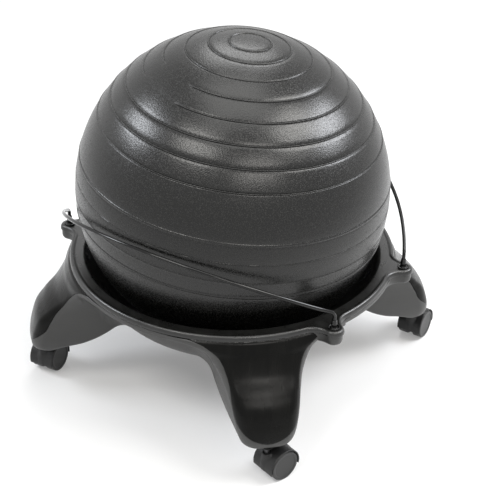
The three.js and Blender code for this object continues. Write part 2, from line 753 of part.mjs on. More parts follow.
// The hood: a web between the wheels, a shroud over them and a boss round the stem. Built about
// the swivel axis, with the wheels' axle behind it.
function hood() {
  const shroudRing = layDown(
    revolve(
      [
        [hoodInnerRadius, -hoodHalfWidth],
        [hoodOuterRadius, -hoodHalfWidth],
        [hoodOuterRadius, hoodHalfWidth],
        [hoodInnerRadius, hoodHalfWidth],
      ],
      casterSides,
    ),
  );
  const web = layDown(bar(hoodOuterRadius, -hoodWebHalfWidth, hoodWebHalfWidth, casterSides));
  const openSide = hoodOuterRadius * 2;
  const opening = new THREE.Shape();
  const slope = Math.tan(radians(hoodSkirtAngle));
  opening.moveTo(-openSide, -openSide * slope);
  opening.lineTo(0, 0);
  opening.lineTo(openSide, -openSide * slope);
  opening.lineTo(openSide, -openSide);
  opening.lineTo(-openSide, -openSide);
  const cutter = new THREE.ExtrudeGeometry(opening, { depth: openSide * 2, bevelEnabled: false });
  cutter.translate(0, 0, -openSide).rotateX(Math.PI / 2).rotateZ(Math.PI / 2);
  const webFloor = new THREE.BoxGeometry(openSide * 2, openSide * 2, openSide);
  webFloor.translate(0, 0, -openSide / 2 - axleRadius * 2.2);
  const shroud = solid(shroudRing).subtract(solid(cutter));
  let body = solid(web).subtract(solid(webFloor)).add(shroud);
  body = solid(geometryOf(body).translate(0, casterTrail, axleHeight));
  const stemBottom = hoodBossTop - stemDepthInHood;
  const boss = solid(bar(hoodBossRadius, stemBottom - hoodWall, hoodBossTop));
  const wheelRoom = [-1, 1].map((side) =>
    layDown(bar(hoodInnerRadius, wheelInner - turnGap, wheelOuter + cutOverrun * 2, casterSides))
      .scale(side, 1, 1),
  );
  body = body.add(boss);
  for (const room of wheelRoom) {
    const facing = room.clone();
    if (room === wheelRoom[0]) facing.index.array.reverse();
    body = body.subtract(solid(facing.translate(0, casterTrail, axleHeight)));
  }
  body = body.subtract(solid(bar(stemRadius + partGap, stemBottom - partGap, hoodBossTop + cutOverrun)));
  const axleBore = layDown(bar(axleRadius + partGap, -hoodHalfWidth, hoodHalfWidth))
    .translate(0, casterTrail, axleHeight);
  return geometryOf(body.subtract(solid(axleBore)));
}

// Half of the wheel pair, towards +X. Its outer face is closed, so its bore is blind.
function wheel() {
  const profile = [
    [0, wheelOuter],
    [wheelRadius - wheelEdgeRadius, wheelOuter],
    [wheelRadius, wheelOuter - wheelEdgeRadius],
    [wheelRadius, wheelInner],
    [axleRadius + partGap, wheelInner],
    [axleRadius + partGap, wheelInner + wheelBoreDepth],
    [0, wheelInner + wheelBoreDepth],
  ];
  return layDown(revolve(profile, casterSides));
}

const axleHalfLength = wheelInner + wheelBoreDepth - partGap;
const stemTop = footHeight + sleeveLength - stemGripRadius;
const stemBottomHeight = hoodBossTop - stemDepthInHood;
const stemProfile = [
  [0, stemBottomHeight],
  [stemRadius, stemBottomHeight],
  [stemRadius, stemTop - stemGripLength],
  [stemGripRadius, stemTop - stemGripLength * 0.7],
  [stemGripRadius, stemTop - stemGripLength * 0.3],
  [stemRadius * 0.7, stemTop],
  [0, stemTop],
];
const sleeveBore = clearOf(stemGripRadius);
const sleeveSeat = footHeight - partGap;
const sleeveProfile = [
  [sleeveBore, sleeveSeat - sleeveFlangeThickness],
  [sleeveFlangeRadius, sleeveSeat - sleeveFlangeThickness],
  [sleeveFlangeRadius, sleeveSeat],
  [socketRadius, sleeveSeat],
  [socketRadius, footHeight + sleeveLength],
  [sleeveBore, footHeight + sleeveLength],
];

const legNames = ['front_right', 'rear_right', 'rear_left', 'front_left'];
legBearings().forEach((bearing, i) => {
  const name = legNames[i];
  const caster = new THREE.Group();
  caster.position.set(
    casterCircleRadius * Math.cos(radians(bearing)),
    casterCircleRadius * Math.sin(radians(bearing)),
    0,
  );
  group.add(caster);
  addMesh(caster, `caster_sleeve_${name}`, revolve(sleeveProfile, smallSides), nylonMaterial);
  const swivel = new THREE.Group();
  swivel.rotation.z = radians(casterTurnAngles[i]);
  caster.add(swivel);
  addMesh(swivel, `caster_stem_${name}`, revolve(stemProfile, smallSides), steelMaterial);
  addMesh(swivel, `caster_hood_${name}`, hood(), hoodMaterial);
  const axle = addMesh(
    swivel,
    `caster_axle_${name}`,
    layDown(bar(axleRadius, -axleHalfLength, axleHalfLength)),
    steelMaterial,
  );
  axle.position.set(0, casterTrail, axleHeight);
  const rightWheel = addMesh(swivel, `wheel_${name}_right`, wheel(), wheelMaterial);
  rightWheel.position.set(0, casterTrail, axleHeight);
  const leftWheel = addMesh(swivel, `wheel_${name}_left`, wheel(), wheelMaterial);
  leftWheel.position.set(0, casterTrail, axleHeight);
  leftWheel.rotation.z = Math.PI;
});

export default group;
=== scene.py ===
# A balance ball chair: a black ribbed ball resting in a four-legged moulded base on twin-wheel
# casters, held by two bent rods. The chair's sizes are in millimetres and become metres in each
# piece's mesh. Those of the camera, the lights and the floor are in metres.
import math
import bpy
import numpy as np
from mathutils import Matrix, Vector


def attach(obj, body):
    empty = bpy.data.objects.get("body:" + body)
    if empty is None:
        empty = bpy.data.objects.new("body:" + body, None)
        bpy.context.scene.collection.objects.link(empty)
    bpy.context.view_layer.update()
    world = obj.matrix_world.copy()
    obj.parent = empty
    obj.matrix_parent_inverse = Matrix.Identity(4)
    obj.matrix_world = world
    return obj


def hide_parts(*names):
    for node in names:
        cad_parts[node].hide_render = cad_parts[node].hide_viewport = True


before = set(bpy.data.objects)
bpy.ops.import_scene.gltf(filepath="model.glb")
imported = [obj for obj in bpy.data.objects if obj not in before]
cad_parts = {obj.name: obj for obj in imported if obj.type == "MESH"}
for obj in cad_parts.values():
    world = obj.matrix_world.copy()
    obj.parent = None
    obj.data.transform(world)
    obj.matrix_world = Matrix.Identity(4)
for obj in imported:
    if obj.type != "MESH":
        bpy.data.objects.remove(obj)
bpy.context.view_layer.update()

# Camera, light and floor
# The chair stands on a pale studio floor. The camera looks down at it from the front right, and
# seven soft boxes light it from above and behind, from both sides and from the front.
radians, cos, sin = math.radians, math.cos, math.sin
camera_bearing, camera_height_angle, camera_roll = radians(34.245), radians(31.3416), radians(1.0502)
camera_distance, camera_focus, picture_width = 2.148, 1258.62, 500
looked_at = Vector((0.028 * cos(camera_bearing), 0.028 * sin(camera_bearing), 0.2191))
camera_back = Vector((
    sin(camera_bearing) * cos(camera_height_angle),
    -cos(camera_bearing) * cos(camera_height_angle),
    sin(camera_height_angle),
))
level_right = Vector((cos(camera_bearing), sin(camera_bearing), 0))
level_up = camera_back.cross(level_right)
camera_right = level_right * cos(camera_roll) + level_up * sin(camera_roll)
camera_up = level_up * cos(camera_roll) - level_right * sin(camera_roll)
camera = bpy.data.objects.new("camera", bpy.data.cameras.new("camera"))
bpy.context.scene.collection.objects.link(camera)
camera.matrix_world = Matrix.Translation(looked_at + camera_back * camera_distance) @ Matrix(
    (camera_right, camera_up, camera_back)).transposed().to_4x4()
camera.data.lens = camera_focus / picture_width * camera.data.sensor_width
camera.data.shift_x, camera.data.shift_y = 1.2631 / picture_width, -0.0566 / picture_width
bpy.context.scene.camera = camera

lit_middle = Vector((0, 0, 0.35))


def soft_box(name, place, width, height, power, colour):
    light = bpy.data.lights.new(name, "AREA")
    light.shape, light.size, light.size_y = "RECTANGLE", width, height
    light.energy, light.color = power, colour
    lamp = bpy.data.objects.new(name, light)
    lamp.location = place
    lamp.rotation_euler = (lit_middle - Vector(place)).to_track_quat("-Z", "Y").to_euler()
    bpy.context.scene.collection.objects.link(lamp)


soft_box("rear_panel", (-0.88, 1.41, 2.4), 1.4, 1.1, 23, (1.0, 1.0, 1.0))
soft_box("overhead_panel", (0.1, -0.1, 2.6), 1.5, 1.5, 20, (1.0, 0.995, 0.975))
soft_box("left_box", (-1.51, -0.87, 1.5), 0.8, 0.6, 22, (0.92, 0.95, 1.0))
soft_box("right_box", (1.36, 1.24, 1.54), 1.1, 0.7, 36, (0.94, 0.96, 1.0))
soft_box("front_left_box", (-0.06, -1.47, 2.04), 1.0, 0.6, 18, (1.0, 0.985, 0.95))
soft_box("front_right_box", (1.35, 0.4, 2.05), 1.1, 0.8, 26, (1.0, 0.985, 0.95))
soft_box("front_low_box", (1.25, -0.89, 1.48), 0.9, 0.42, 8, (1.0, 0.97, 0.93))

bpy.context.scene.view_settings.view_transform = "Standard"


def feed(tree, value, socket):
    """Links a socket to another, or gives it a number."""
    if isinstance(value, bpy.types.NodeSocket):
        tree.links.new(value, socket)
    else:
        socket.default_value = value


def maths(tree, operation, *values):
    """A sum of sockets or numbers, as a socket."""
    node = tree.nodes.new("ShaderNodeMath")
    node.operation = operation
    for value, socket in zip(values, node.inputs):
        feed(tree, value, socket)
    return node.outputs[0]


def ramp(tree, factor, from_low, from_high, low=0.0, high=1.0):
    """Maps a socket from one range to another, smoothly."""
    node = tree.nodes.new("ShaderNodeMapRange")
    node.interpolation_type = "SMOOTHSTEP"
    for label, value in (("Value", factor), ("From Min", from_low), ("From Max", from_high),
                         ("To Min", low), ("To Max", high)):
        feed(tree, value, node.inputs[label])
    return node.outputs["Result"]


def mixed_colour(tree, factor, first, second):
    """A colour between two, as a socket."""
    node = tree.nodes.new("ShaderNodeMix")
    node.data_type = "RGBA"
    feed(tree, factor, node.inputs["Factor"])
    for label, colour in (("A", first), ("B", second)):
        socket = [s for s in node.inputs if s.name == label and s.type == "RGBA"][0]
        socket.default_value = (*colour, 1)
    return [s for s in node.outputs if s.type == "RGBA"][0]


def seen_strength(tree, unseen, seen):
    """One strength for what the camera and shiny things see, and another for the light it sheds."""
    rays = tree.nodes.new("ShaderNodeLightPath").outputs
    looked_upon = rays["Is Camera Ray"]
    for also in ("Is Glossy Ray", "Is Transmission Ray"):
        looked_upon = maths(tree, "MAXIMUM", looked_upon, rays[also])
    choice = tree.nodes.new("ShaderNodeMix")
    for label, value in (("Factor", looked_upon), ("A", unseen), ("B", seen)):
        feed(tree, value, choice.inputs[label])
    return choice.outputs["Result"]


world = bpy.data.worlds.new("studio")
bpy.context.scene.world = world
world.use_nodes = True
sky = world.node_tree.nodes["Background"]
sky.inputs["Color"].default_value = (1, 1, 1, 1)
feed(world.node_tree, seen_strength(world.node_tree, 0.1, 1.0), sky.inputs["Strength"])

floor_half, lit_floor_radius, backdrop_radius = 6, 0.7, 1.8
floor_mesh = bpy.data.meshes.new("floor")
floor_corners = [(x * floor_half, y * floor_half, 0) for x, y in ((-1, -1), (1, -1), (1, 1), (-1, 1))]
floor_mesh.from_pydata(floor_corners, [], [(0, 1, 2, 3)])
floor = bpy.data.objects.new("floor", floor_mesh)
bpy.context.scene.collection.objects.link(floor)
floor_paint = bpy.data.materials.new("studio_floor")
floor_paint.use_nodes = True
floor_tree = floor_paint.node_tree
floor_shader = floor_tree.nodes["Principled BSDF"]
floor_shader.inputs["Roughness"].default_value = 0.8
floor_shader.inputs["Specular IOR Level"].default_value = 0.2
floor_shader.inputs["Emission Color"].default_value = (1, 1, 1, 1)
# The lit floor fades into the white backdrop away from the chair.
from_middle = floor_tree.nodes.new("ShaderNodeVectorMath")
from_middle.operation = "LENGTH"
feed(floor_tree, floor_tree.nodes.new("ShaderNodeTexCoord").outputs["Object"], from_middle.inputs[0])
fade = ramp(floor_tree, from_middle.outputs["Value"], lit_floor_radius, backdrop_radius)
floor_colour = mixed_colour(floor_tree, fade, (0.66, 0.66, 0.66), (0.12, 0.12, 0.12))
feed(floor_tree, floor_colour, floor_shader.inputs["Base Color"])
glow = maths(floor_tree, "ADD", maths(floor_tree, "MULTIPLY", fade, 0.69), 0.25)
glow_seen = maths(floor_tree, "MULTIPLY", glow, seen_strength(floor_tree, 0.0, 1.0))
feed(floor_tree, glow_seen, floor_shader.inputs["Emission Strength"])
floor_mesh.materials.append(floor_paint)

# Ball
# A hollow ball blown from soft black PVC, turned in a two-part mould. Its raised ribs run in circles
# round one axis, which leans a little, and the mould's parting line runs ragged round its middle.
MM = 0.001


def mesh_of(name, points, faces):
    """A mesh from points in millimetres."""
    mesh = bpy.data.meshes.new(name)
    mesh.from_pydata((np.asarray(points, float) * MM).tolist(), [], [list(map(int, f)) for f in faces])
    return mesh


def link_piece(name, points, faces, material, body, slot, stands_for, sharp):
    """A piece that rides on its body and stands for plain solids. Corners over sharp degrees stay sharp."""
    mesh = mesh_of(name, points, faces)
    mesh.validate()
    mesh.materials.append(material)
    mesh.shade_smooth()
    mesh.set_sharp_from_angle(angle=radians(sharp))
    piece = bpy.data.objects.new(name, mesh)
    bpy.context.scene.collection.objects.link(piece)
    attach(piece, body)
    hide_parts(*stands_for)
    return piece


def bands(rows, sides, closed=False):
    """The faces between rings of points, each ring with the next, and the last with the first if closed."""
    faces = []
    for i in range(rows if closed else rows - 1):
        a, b = i * sides, (i + 1) % rows * sides
        faces += [(a + k, a + (k + 1) % sides, b + (k + 1) % sides, b + k) for k in range(sides)]
    return faces


def turned(profile, sides):
    """Turns [radius, height] points about Z. Points on the axis close the form; else it closes on itself."""
    profile = np.array(profile, float)
    on_axis = profile[:, 0] < 1e-6
    rings = profile[~on_axis]
    angles = np.arange(sides) * 2 * math.pi / sides
    points = np.stack([
        rings[:, :1] * np.cos(angles), rings[:, :1] * np.sin(angles), np.repeat(rings[:, 1:], sides, 1),
    ], -1).reshape(-1, 3)
    faces = bands(len(rings), sides, not on_axis.any())
    points = list(map(tuple, points))
    if on_axis[0]:
        points.append((0, 0, profile[0, 1]))
        faces += [(len(points) - 1, (k + 1) % sides, k) for k in range(sides)]
    if on_axis[-1]:
        points.append((0, 0, profile[-1, 1]))
        top = (len(rings) - 1) * sides
        faces += [(len(points) - 1, top + k, top + (k + 1) % sides) for k in range(sides)]
    return np.array(points), faces


ball_radius, ball_centre = 260.0, np.array([0, 0, 345.0])
ball_lean = Matrix.Rotation(radians(5.9), 3, Vector((-sin(radians(14)), cos(radians(14)), 0)))
rib_angles = [7.4, 14.5, 22.7, 30.8, 38.8, 46.8, 54.5, 62.3]
rib_height, rib_half_width, band_crown = 1.05, 1.15, 0.3
parting_angle = 86.65
band_angles = [(79.5, 0.8, 2.6), (parting_angle, 0.6, 1.0), (94.0, -0.5, 1.2), (100.5, 0.8, 2.6)]
ball_skin = ball_radius - rib_height - 0.1
# Two ribs break off over a short bare patch at the front left.
bare_bearing, bare_half_width, broken_ribs = radians(-113), radians(20), (30.8, 38.8)

ribs = [(a, rib_height, rib_half_width) for a in rib_angles] + band_angles
ribs += [(180 - a, rib_height, rib_half_width) for a in rib_angles[:-1]]
per_degree = ball_radius * radians(1)
# A rib's half section, as shares of its half width and height: a round crest and a crease at its foot.
rib_section = np.array([
    (0, 1), (0.3, 0.92), (0.6, 0.58), (0.85, 0.0), (1.1, -0.4), (1.4, -0.18), (1.8, 0), (2.2, 0)])
polar_rows = set(np.arange(0, 180.01, 1.8).round(3))
for angle, height, half in ribs:
    polar_rows -= {p for p in polar_rows if abs(p - angle) * per_degree < half * 2.3}
    for share in rib_section[:-1, 0]:
        aside = share * half / per_degree
        polar_rows |= {round(angle - aside, 3), round(angle + aside, 3)}
polar_rows = np.array(sorted(polar_rows))
ball_sides = 256
bearings = np.arange(ball_sides) * 2 * math.pi / ball_sides
away = np.abs((bearings - bare_bearing + math.pi) % (2 * math.pi) - math.pi)
bare = np.clip((bare_half_width - away) / radians(5), 0, 1)
bare = bare * bare * (3 - 2 * bare)
skin = np.full((len(polar_rows), ball_sides), ball_skin - band_crown)
rib_circles = np.array([-7.4] + rib_angles + [180 - a for a in reversed(rib_angles[:-1])] + [187.4])
next_rib = np.searchsorted(rib_circles, polar_rows, side="right").clip(1, len(rib_circles) - 1)
within = (polar_rows - rib_circles[next_rib - 1]) / (rib_circles[next_rib] - rib_circles[next_rib - 1])
wide_band = rib_circles[next_rib] - rib_circles[next_rib - 1] > 12
crown = np.where(wide_band, 1 - np.abs(2 * within - 1) ** 8, 4 * within * (1 - within))
skin += band_crown * crown[:, None]
for angle, height, half in ribs:
    bump = np.interp(np.abs(polar_rows - angle) * per_degree / half, *rib_section.T)
    strength = 1 - bare if angle in broken_ribs else np.ones(ball_sides)
    if angle == parting_angle:
        ragged = 0.3 * np.sin(41 * bearings + 2 * np.sin(9 * bearings)) + 0.25 * np.sin(97 * bearings + 1)
        strength = 0.55 + ragged
    skin += height * bump[:, None] * strength[None, :]
polar = np.radians(polar_rows)[1:-1, None]
rows = skin[1:-1]
ball_points = np.stack([
    rows * np.sin(polar) * np.cos(bearings), rows * np.sin(polar) * np.sin(bearings), rows * np.cos(polar),
], -1).reshape(-1, 3)
ball_points = np.concatenate([ball_points, [[0, 0, ball_skin]], [[0, 0, -ball_skin]]])
ball_faces = [(a, d, c, b) for a, b, c, d in bands(len(rows), ball_sides)]
north, south, last_ring = len(ball_points) - 2, len(ball_points) - 1, (len(rows) - 1) * ball_sides
for k in range(ball_sides):
    n = (k + 1) % ball_sides
    ball_faces += [(north, k, n), (south, last_ring + n, last_ring + k)]


def lean_with_ball(points):
    return np.asarray(points) @ np.array(ball_lean).T + ball_centre


def carved(points, faces, cutter_points, cutter_faces):
    """A closed form with another taken out of it, as points and faces."""
    shapes = [
        bpy.data.objects.new("form", mesh_of("form", points, faces)),
        bpy.data.objects.new("cutter", mesh_of("cutter", cutter_points, cutter_faces))]
    for shape in shapes:
        bpy.context.scene.collection.objects.link(shape)
    cut = shapes[0].modifiers.new("cut", "BOOLEAN")
    cut.operation, cut.solver, cut.object = "DIFFERENCE", "EXACT", shapes[1]
    bpy.context.view_layer.update()
    after_cut = shapes[0].evaluated_get(bpy.context.evaluated_depsgraph_get())
    result = bpy.data.meshes.new_from_object(after_cut)
    out = np.array([v.co for v in result.vertices]) / MM, [tuple(f.vertices) for f in result.polygons]
    for shape in shapes:
        bpy.data.objects.remove(shape)
    return out


# The filling hole for the valve's plug, in the bare band at the rear.
to_valve = Matrix.Rotation(radians(90), 3, "Z") @ Matrix.Rotation(radians(71), 3, "Y")
hole_radius, hole_low, hole_high = 3.3, ball_radius - 17, ball_radius + 4
hole_points, hole_faces = turned(
    [(0, hole_low), (hole_radius, hole_low), (hole_radius, hole_high), (0, hole_high)], 32)
ball_points, ball_faces = carved(ball_points, ball_faces, hole_points @ np.array(to_valve).T, hole_faces)


def node_group(name, numbers, masks):
    """An empty shader group, its inputs, a place and these numbers, and its outputs, these masks."""
    group = bpy.data.node_groups.new(name, "ShaderNodeTree")
    group.interface.new_socket("Place", in_out="INPUT", socket_type="NodeSocketVector")
    for label, value in numbers.items():
        number = group.interface.new_socket(label, in_out="INPUT", socket_type="NodeSocketFloat")
        number.default_value = value
    for label in masks:
        group.interface.new_socket(label, in_out="OUTPUT", socket_type="NodeSocketFloat")
    return group, group.nodes.new("NodeGroupInput").outputs, group.nodes.new("NodeGroupOutput").inputs


def noise(tree, place, scale, detail, roughness=0.5):
    node = tree.nodes.new("ShaderNodeTexNoise")
    for label, value in (("Vector", place), ("Scale", scale), ("Detail", detail), ("Roughness", roughness)):
        feed(tree, value, node.inputs[label])
    return node.outputs["Fac"]


# Fine grain of a moulded surface, a slow mottling under it and stray specks on it.
grain, grain_in, grain_out = node_group(
    "moulded_grain", {"Grains per metre": 900.0}, ["Height", "Mottle", "Specks"])
place, grains = grain_in["Place"], grain_in["Grains per metre"]
pebbles = noise(grain, place, grains, 1.5)
spatter = noise(grain, place, maths(grain, "MULTIPLY", grains, 1.31), 0.0)
clouds = noise(grain, place, 9.0, 4.0, 0.55)
feed(grain, ramp(grain, pebbles, 0.25, 0.75), grain_out["Height"])
feed(grain, ramp(grain, clouds, 0.3, 0.7), grain_out["Mottle"])
feed(grain, ramp(grain, spatter, 0.5, 0.72), grain_out["Specks"])

# Faint rubbed streaks and scratches, all one way.
rubbing, rubbing_in, rubbing_out = node_group(
    "rubbed_streaks", {"Streaks per metre": 60.0, "Lean": 0.6}, ["Streaks", "Scratches"])
place, streaks_per_metre = rubbing_in["Place"], rubbing_in["Streaks per metre"]
turn_streaks = rubbing.nodes.new("ShaderNodeVectorRotate")
turn_streaks.rotation_type = "AXIS_ANGLE"
turn_streaks.inputs["Axis"].default_value = (0.6, 0.5, 0.2)
feed(rubbing, place, turn_streaks.inputs["Vector"])
feed(rubbing, rubbing_in["Lean"], turn_streaks.inputs["Angle"])
draw_out = rubbing.nodes.new("ShaderNodeVectorMath")
draw_out.operation = "MULTIPLY"
draw_out.inputs[1].default_value = (1.0, 1.0, 0.07)
feed(rubbing, turn_streaks.outputs["Vector"], draw_out.inputs[0])
drawn_out = draw_out.outputs["Vector"]
streaks = ramp(rubbing, noise(rubbing, drawn_out, streaks_per_metre, 4.0, 0.62), 0.35, 0.72)
fine_lines = noise(rubbing, drawn_out, maths(rubbing, "MULTIPLY", streaks_per_metre, 5.3), 1.0)
from_line = maths(rubbing, "ABSOLUTE", maths(rubbing, "SUBTRACT", fine_lines, 0.5))
scratched = ramp(rubbing, noise(rubbing, place, 21.0, 2.0, 0.55), 0.56, 0.66)
scratches = maths(rubbing, "MULTIPLY", ramp(rubbing, from_line, 0.002, 0.012, 1.0, 0.0), scratched)
feed(rubbing, streaks, rubbing_out["Streaks"])
feed(rubbing, scratches, rubbing_out["Scratches"])


def plain_material(name, dark, light, roughness, specular):
    """A shader of one colour, midway between two, its tree and the place that its textures hang on."""
    material = bpy.data.materials.new(name)
    material.use_nodes = True
    tree = material.node_tree
    shader = tree.nodes["Principled BSDF"]
    shader.inputs["Base Color"].default_value = (*[(a + b) / 2 for a, b in zip(dark, light)], 1)
    shader.inputs["Roughness"].default_value = roughness
    shader.inputs["Specular IOR Level"].default_value = specular
    place = tree.nodes.new("ShaderNodeTexCoord").outputs["Object"]
    return material, tree, shader, place


def placed(tree, group, place, **values):
    """A node group set into a material, with its own values."""
    node = tree.nodes.new("ShaderNodeGroup")
    node.node_tree = group
    feed(tree, place, node.inputs["Place"])
    for label, value in values.items():
        feed(tree, value, node.inputs[label.replace("_", " ")])
    return node


def toned(tree, shader, tone, dark, light, patch, roughness, spread):
    """Gives a colour between two by one mask, and a roughness that grows with another."""
    colour = mixed_colour(tree, maths(tree, "MINIMUM", tone, 1.0), dark, light)
    feed(tree, colour, shader.inputs["Base Color"])
    rougher = maths(tree, "ADD", maths(tree, "MULTIPLY", patch, spread), roughness)
    feed(tree, rougher, shader.inputs["Roughness"])


def bumped(tree, shader, height, strength, distance):
    bump = tree.nodes.new("ShaderNodeBump")
    for label, value in (("Strength", strength), ("Distance", distance), ("Height", height)):
        feed(tree, value, bump.inputs[label])
    feed(tree, bump.outputs["Normal"], shader.inputs["Normal"])


# The ball's colour has lighter specks: painted glints that stand in for the sparkle of its grain. The same
# specks are also rougher.
pvc_black, pvc_painted_glint = (0.002, 0.002, 0.0017), (0.011, 0.011, 0.01)
ball_pvc, tree, shader, place = plain_material("ball_pvc", pvc_black, pvc_painted_glint, 0.27, 0.45)
pvc_grain = placed(tree, grain, place, Grains_per_metre=480.0)
specks = pvc_grain.outputs["Specks"]
toned(tree, shader, specks, pvc_black, pvc_painted_glint, specks, 0.24, 0.22)
bumped(tree, shader, pvc_grain.outputs["Height"], 0.12, 0.001)

link_piece("ball_skin", lean_with_ball(ball_points), ball_faces, ball_pvc, "ball", "ball", ["ball"], 60)


# Base
# Two mouldings of black plastic, screwed together from below: a bowl with a flat flange, a bead and
# the glossy fronts of the legs above, and the skirt, the underside and the legs' sides below.
def smooth_table(rows, count=240):
    """A smooth curve through rows of (at, value), read off evenly."""
    rows = np.array(rows, float)
    way = np.concatenate([[0], np.cumsum(np.hypot(*(np.diff(rows, axis=0) / np.ptp(rows, axis=0)).T))])
    pull = np.gradient(rows, way, axis=0)
    out = []
    for i in range(len(rows) - 1):
        s = np.linspace(0, 1, count // (len(rows) - 1) + 2)[:-1, None]
        step = way[i + 1] - way[i]
        out.append(
            (2 * s**3 - 3 * s**2 + 1) * rows[i] + (s**3 - 2 * s**2 + s) * step * pull[i]
            + (3 * s**2 - 2 * s**3) * rows[i + 1] + (s**3 - s**2) * step * pull[i + 1])
    out = np.concatenate(out + [rows[-1:]])
    order = np.argsort(out[:, 0])
    at = np.linspace(rows[0, 0], rows[-1, 0], count)
    value = np.interp(at, out[order, 0], out[order, 1])
    return at, value, np.gradient(value, at)


def read_off(table, at):
    return np.interp(at, table[0], table[1]), np.interp(at, table[0], table[2])


def rounded_edge(a, b, radius):
    """Inside where both are below zero, with the edge between them rounded."""
    beyond = np.hypot(np.maximum(a + radius, 0), np.maximum(b + radius, 0))
    return np.minimum(np.maximum(a, b), -radius) + beyond


def filled_corner(a, b, radius):
    """Inside where either is below zero, with the corner between them filled."""
    short_of = np.hypot(np.maximum(radius - a, 0), np.maximum(radius - b, 0))
    return np.maximum(np.minimum(a, b), radius) - short_of


rim_height, rim_radius, seam_height, foot_height, leg_reach = 228.0, 275.0, 221.0, 64.0, 351.0
# How far the leg's front reaches, its half width there, and how far in its back is, at each height.
front_of_leg = smooth_table([
    (60, 326), (64, 334), (68, 343), (75, 349.5), (84, 351), (97, 350), (113, 346), (128, 341),
    (150, 325), (175, 301), (200, 286), (214, 279.5), (222, 275.6), (232, 270)])
width_of_leg = smooth_table([
    (60, 22), (64, 28), (71, 36), (80, 40), (91, 43), (113, 46.5), (137, 48.5),
    (160, 51.5), (180, 57.5), (199, 67), (213, 78), (222, 90), (232, 104)])
back_of_leg = smooth_table([
    (60, 330), (64, 322), (75, 302), (90, 263), (110, 234), (140, 207), (170, 195), (232, 188)])
# Height of the underside and of the bowl's hidden face, at each radius.
underside = smooth_table([
    (150, 106), (157, 106.8), (185, 124.5), (214, 150.5), (236, 184), (248, 206.5), (252, 210.3),
    (276, 211.5), (280, 211.5)])
behind_bowl = smooth_table([
    (150, 129), (158, 133), (214, 176), (232, 194), (242, 208), (247, 222), (252, 224), (280, 224)])
leg_flare, bowl_hole = 0.00317, 153.8
leg_edge, leg_back_edge, leg_sole_edge, leg_fillet, leg_crown = 15.0, 8.0, 5.0, 22.0, 3.0
# The lip's outer face below its turn, as slope and curve, and the groove that takes the skin in under it.
lip_low, lip_slope, lip_curve = 224.5, 0.4, 0.004
groove_top, groove_in, groove_slope = 221.8, 1.4, 1.3
# How far round from the flat of a leg's front the seam runs down each side, and its foot's rise there.
seam_side = smooth_table([
    (60, 34), (105, 36), (120, 38), (135, 36), (147, 31), (160, 24.5), (175, 17), (193, 11),
    (205, 9), (232, 8)])
seam_foot = smooth_table([
    (-31, 80.5), (-22, 80.8), (-14, 81.8), (-7, 83.8), (0, 87), (6, 90.8), (12, 95), (20, 99.5),
    (30, 104), (50, 110), (90, 112)])
seam_corner, seam_fillet = 22, 10


def leg_places(x, y, z):
    along, across = (x + y) / math.sqrt(2), (x - y) / math.sqrt(2)
    reach, reach_slope = read_off(front_of_leg, z)
    half, half_slope = read_off(width_of_leg, z)
    flare = 1 + leg_flare * (leg_reach - along)
    return np.abs(across), np.hypot(x, y), reach, reach_slope, half, half_slope, flare


def leg_form(x, y, z):
    """How far a point is outside a leg: behind its crowned front, between its sides, above its sole."""
    across, radius, reach, reach_slope, half, half_slope, flare = leg_places(x, y, z)
    crown = leg_crown * np.minimum(across / half, 1.2)**2
    front = (radius - reach + crown) / np.sqrt(1 + reach_slope**2)
    side = (across - half * flare) / np.sqrt(1 + (half_slope * flare)**2 + (half * leg_flare)**2)
    back_at, back_slope = read_off(back_of_leg, z)
    back = (back_at - radius) / np.sqrt(1 + back_slope**2)
    body = rounded_edge(rounded_edge(front, side, leg_edge), back, leg_back_edge)
    return rounded_edge(body, foot_height - z, leg_sole_edge)


def base_form(x, y, z):
    """How far a point is outside the base, the bowl's inside apart. The legs repeat in each quarter."""
    x, y = np.abs(x), np.abs(y)
    radius = np.hypot(x, y)
    low_at, low_slope = read_off(underside, radius)
    high_at, high_slope = read_off(behind_bowl, radius)
    skirt = rounded_edge((low_at - z) / np.sqrt(1 + low_slope**2), radius - (rim_radius - 0.2), 3)
    body = filled_corner(skirt, leg_form(x, y, z), leg_fillet)
    below_lip = np.maximum(lip_low - z, 0)
    lip = radius - (rim_radius + 0.2 + lip_slope * below_lip + lip_curve * below_lip**2)
    body = rounded_edge(body, lip / np.sqrt(1 + (lip_slope + 2 * lip_curve * below_lip)**2), 2)
    groove = radius - (rim_radius - groove_in + groove_slope * np.maximum(groove_top - z, 0))
    body = rounded_edge(body, groove / math.hypot(1, groove_slope), 0.8)
    return np.maximum(np.maximum(body, (z - high_at) / np.sqrt(1 + high_slope**2)), bowl_hole - radius)


def seam_form(x, y, z):
    """Below zero on the upper moulding: the fronts of the legs, and all above the seam."""
    x, y = np.abs(x), np.abs(y)
    across, radius, reach, reach_slope, half, half_slope, flare = leg_places(x, y, z)
    round_side = np.clip(20 - (half * flare - across), -30, 28) + (reach - radius)
    beside, beneath = round_side - read_off(seam_side, z)[0], read_off(seam_foot, round_side)[0] - z
    return filled_corner(rounded_edge(beside, beneath, seam_corner), seam_height - z, seam_fillet)


